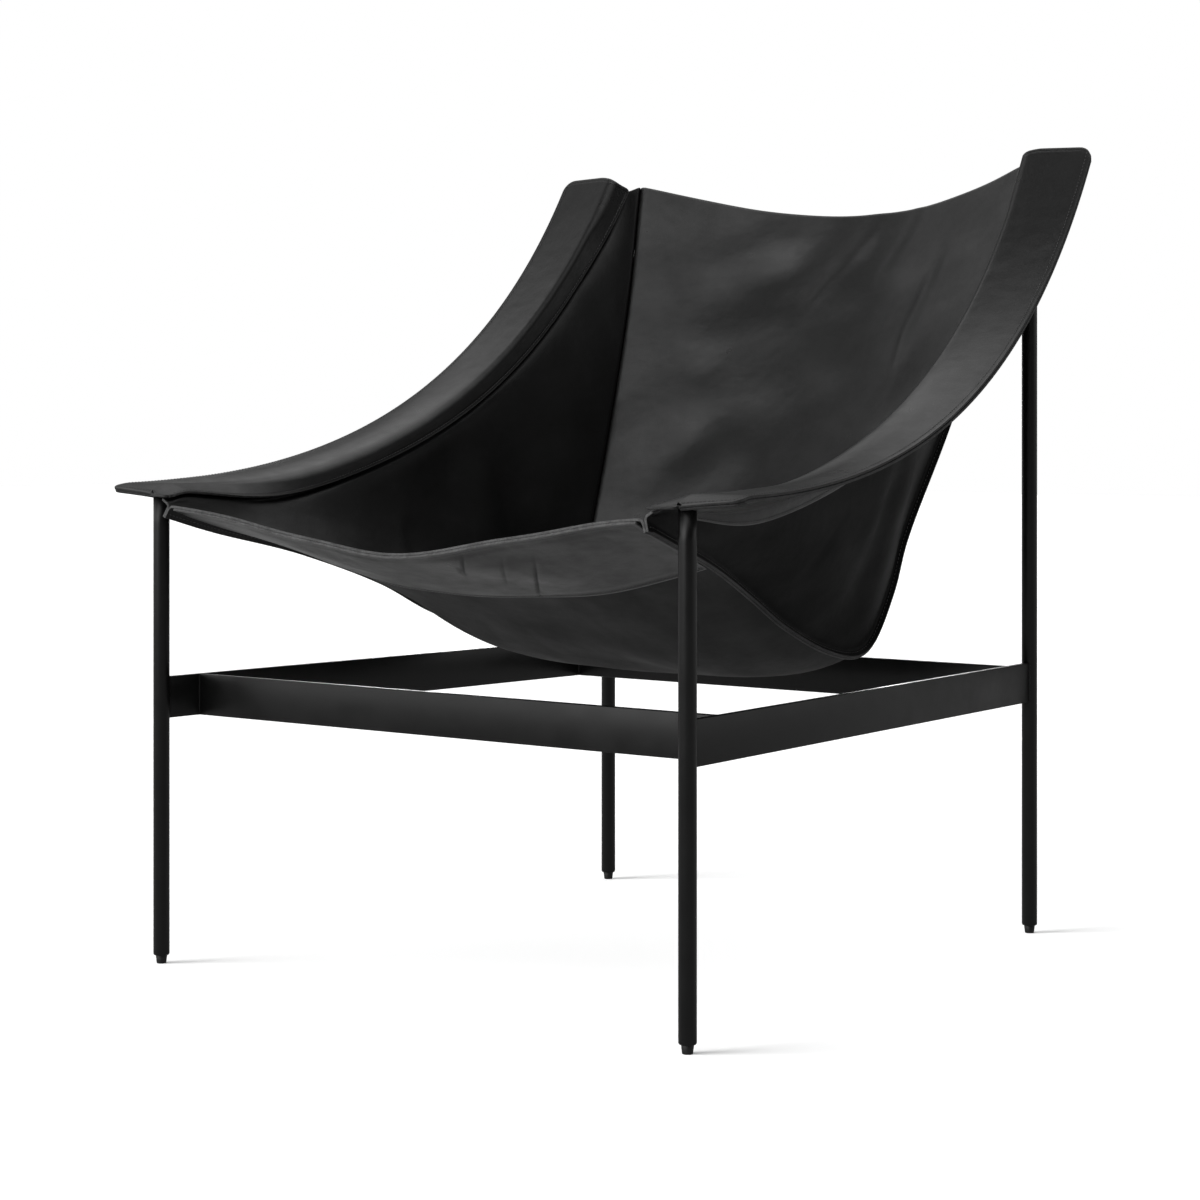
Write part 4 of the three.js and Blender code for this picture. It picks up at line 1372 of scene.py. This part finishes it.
def facing_rows():
    """A loop of two rows along the facing's rear edge, under it and on the seat."""
    reach = FACING_SPREAD - FACING_CLEAR
    across = np.linspace(reach, -reach, FACING_POINTS)
    across = np.concatenate([across, across[::-1], across[:1]])
    far, near = ((FACING_DEPTH - inset) / seam.length for inset in FACING_STITCHES)
    shares = np.concatenate([np.full(FACING_POINTS, far), np.full(FACING_POINTS, near), [far]])
    points, down = with_normals(seat_surface, shares, across)
    depth = (facing_depth(shares) + LEATHER)[:, None]
    return [(points + down * depth, down), (points - down * LEATHER / 2, -down)]


def make_stitches():
    for name, side in SIDES.items():
        sewn = {"arm": [*flap_rows(), skirt_row(), tail_row()], "seam": seam_rows()}
        for label, rows in sewn.items():
            rows = [(on_side(points, side), on_side(up, side)) for points, up in rows]
            stitch_piece(f"{label}_stitches_{name}", rows)
    stitch_piece("facing_stitches", facing_rows())


# Welds

WELD_RADIUS = 0.0011
WELD_CLEAR = 0.0008
WELD_RINGS = 22
WELD_SIDES = 10
WELD_UNEVEN = 0.18
WELD_END = 0.4
WELD_SEED = 8


def weld_spots():
    """Where the beads stand on the right side: the corners where rails meet rails and legs."""
    half = RAIL_THICKNESS / 2
    spots = []
    for leg, way in ((front_leg, 1), (rear_leg, -1)):
        end = leg[:2] + way * rail_way * math.sqrt(LEG_RADIUS**2 - half**2)
        spots += [end + rail_across * half, end - rail_across * half]
    for rail in ("front_rail", "rear_rail"):
        low, high = node_box(rail)
        for y in (low[1], high[1]):
            spots.append(np.array([leg_line(y) - half * math.hypot(1, leg_taper), y]))
    return spots


def make_welds():
    """Thin beads, as high as the rails."""
    low, high = node_box("front_rail")
    heights = np.linspace(low[2] + WELD_CLEAR, high[2] - WELD_CLEAR, WELD_RINGS)
    chance = np.random.default_rng(WELD_SEED)
    for name, side in SIDES.items():
        work = bmesh.new()
        for x, y in weld_spots():
            radii = WELD_RADIUS * (1 + WELD_UNEVEN * chance.standard_normal(WELD_RINGS))
            radii[[0, -1]] = WELD_RADIUS * WELD_END
            bead = turned_mesh("bead", list(zip(radii, heights)), sides=WELD_SIDES)
            work.from_mesh(moved(bead, (side * x, y, 0)))
            bpy.data.meshes.remove(bead)
        mesh = bpy.data.meshes.new(f"welds_{name}")
        work.to_mesh(mesh)
        work.free()
        hand_over(new_piece(mesh, PAINT), "frame")


# The chair

make_seat()
make_facing()
make_rails()
for name, side in SIDES.items():
    make_flap_top(name, side)
    make_flap_under(name, side)
    make_side_panel(name, side)
    for end, leg in (("front", front_leg), ("rear", rear_leg)):
        make_leg(end, name, side, leg)
        make_glide(end, name, side, leg)
    make_rod(name, side)
make_welds()
make_stitches()


# Studio

CAMERA_PLACE = (1.706091, -2.289620, 0.539311)
CAMERA_TURN = math.radians(37.759)
CAMERA_LENS = 83.418
CAMERA_SHIFT = -0.15192


def make_camera():
    data = bpy.data.cameras.new("camera")
    data.lens = CAMERA_LENS
    data.sensor_width = 36
    data.shift_y = CAMERA_SHIFT
    camera = bpy.data.objects.new("camera", data)
    camera.location = CAMERA_PLACE
    camera.rotation_euler = (math.pi / 2, 0, CAMERA_TURN)
    bpy.context.scene.collection.objects.link(camera)
    bpy.context.scene.camera = camera


# Soft lights round the sky by height, each an azimuth and a strength; angles in degrees
SKY_RINGS = {
    6: [(25, 0.6), (51, 0.6), (180, 0.8), (205, 0.9), (231, 1.1), (257, 2.9)],
    28: [(60, 0.15), (120, 0.1), (210, 0.2), (270, 1.55)],
    50: [(100, 0.2), (140, 0.7), (180, 0.35), (288, 0.6), (324, 0.4)],
    72: [(72, 0.9)],
}
SKY_RING_SPREAD = 30
SKY_STRIP = {5: [(118, 0.5), (128, 0.5), (138, 0.5)]}
SKY_STRIP_SPREAD = 9
FLOOR_HALF = 15.0
FLOOR_BOUNCE = 0.317
FLOOR_SEEN = 0.95
FLOOR_LIFT = 0.2
# Lamps: power, width, azimuth and height
FLOOR_KEY = (4.4, 32, 230, 22)
FRAME_RIM = (0.5, 14, 127, 6)
WHITE = (1, 1, 1, 1)


def sky_way(azimuth, height):
    turn, rise = math.radians(azimuth), math.radians(height)
    return math.cos(rise) * math.cos(turn), math.cos(rise) * math.sin(turn), math.sin(rise)


def make_world():
    """Soft lights round the sky; the camera itself sees plain white."""
    world = bpy.data.worlds.new("studio")
    world.use_nodes = True
    tree = world.node_tree
    tree.nodes.clear()
    way = add(tree, "TexCoord", {}).outputs["Generated"]
    total = 0.0
    for rings, width in ((SKY_RINGS, SKY_RING_SPREAD), (SKY_STRIP, SKY_STRIP_SPREAD)):
        lights = [(height, *light) for height, ring in rings.items() for light in ring]
        for height, azimuth, strength in lights:
            toward = {0: way, 1: sky_way(azimuth, height)}
            near = add(tree, "VectorMath", toward, operation="DOT_PRODUCT").outputs["Value"]
            limits = {"From Min": math.cos(math.radians(width)), "From Max": 1.0, "To Max": strength}
            ranged = {"Value": near, **limits}
            glow = add(tree, "MapRange", ranged, interpolation_type="SMOOTHSTEP").outputs[0]
            total = maths(tree, "ADD", total, glow)
    light = add(tree, "Background", {"Color": WHITE, "Strength": total}).outputs[0]
    shown = add(tree, "Background", {"Color": WHITE, "Strength": 1.0}).outputs[0]
    seen = add(tree, "LightPath", {}).outputs["Is Camera Ray"]
    mix = add(tree, "MixShader", {0: seen, 1: light, 2: shown}).outputs[0]
    add(tree, "OutputWorld", {0: mix})
    bpy.context.scene.world = world


def make_floor():
    """Pale paper, lifted to white where the camera sees it."""
    corners = np.array([(-1, -1, 0), (1, -1, 0), (1, 1, 0), (-1, 1, 0)]) * FLOOR_HALF
    mesh = plain_mesh("floor", corners, [[0, 1, 2, 3]])
    material, tree, shader = new_material("floor_paper")
    shader.inputs["Roughness"].default_value = 0.9
    shader.inputs["Specular IOR Level"].default_value = 0.0
    shader.inputs["Emission Color"].default_value = WHITE
    seen = add(tree, "LightPath", {}).outputs["Is Camera Ray"]
    tree.links.new(spread(tree, seen, FLOOR_BOUNCE, FLOOR_SEEN), shader.inputs["Base Color"])
    tree.links.new(maths(tree, "MULTIPLY", seen, FLOOR_LIFT), shader.inputs["Emission Strength"])
    floor = new_piece(mesh, material)
    return floor


def group_of(name, pieces):
    group = bpy.data.collections.new(name)
    for piece in pieces:
        group.objects.link(piece)
    return group


def make_lamp(name, power, width, azimuth, height, lit, shading):
    """A far soft lamp that lights some pieces only, and is shaded by some pieces only."""
    data = bpy.data.lights.new(name, "SUN")
    data.energy = power
    data.angle = math.radians(width)
    lamp = bpy.data.objects.new(name, data)
    lamp.rotation_euler = Vector(sky_way(azimuth, height)).to_track_quat("Z", "Y").to_euler()
    lamp.light_linking.receiver_collection = group_of(f"{name}_lights", lit)
    lamp.light_linking.blocker_collection = group_of(f"{name}_shaded_by", shading)
    bpy.context.scene.collection.objects.link(lamp)


def pieces_named(*words):
    return [piece for piece in bpy.context.scene.objects if any(word in piece.name for word in words)]


make_camera()
make_world()
floor = make_floor()
make_lamp("floor_key", *FLOOR_KEY, [floor], pieces_named("_leg_bar_", "_foot_"))
make_lamp("frame_rim", *FRAME_RIM, pieces_named("_bar"), bpy.context.scene.objects[:])
bpy.context.scene.view_settings.view_transform = "Standard"
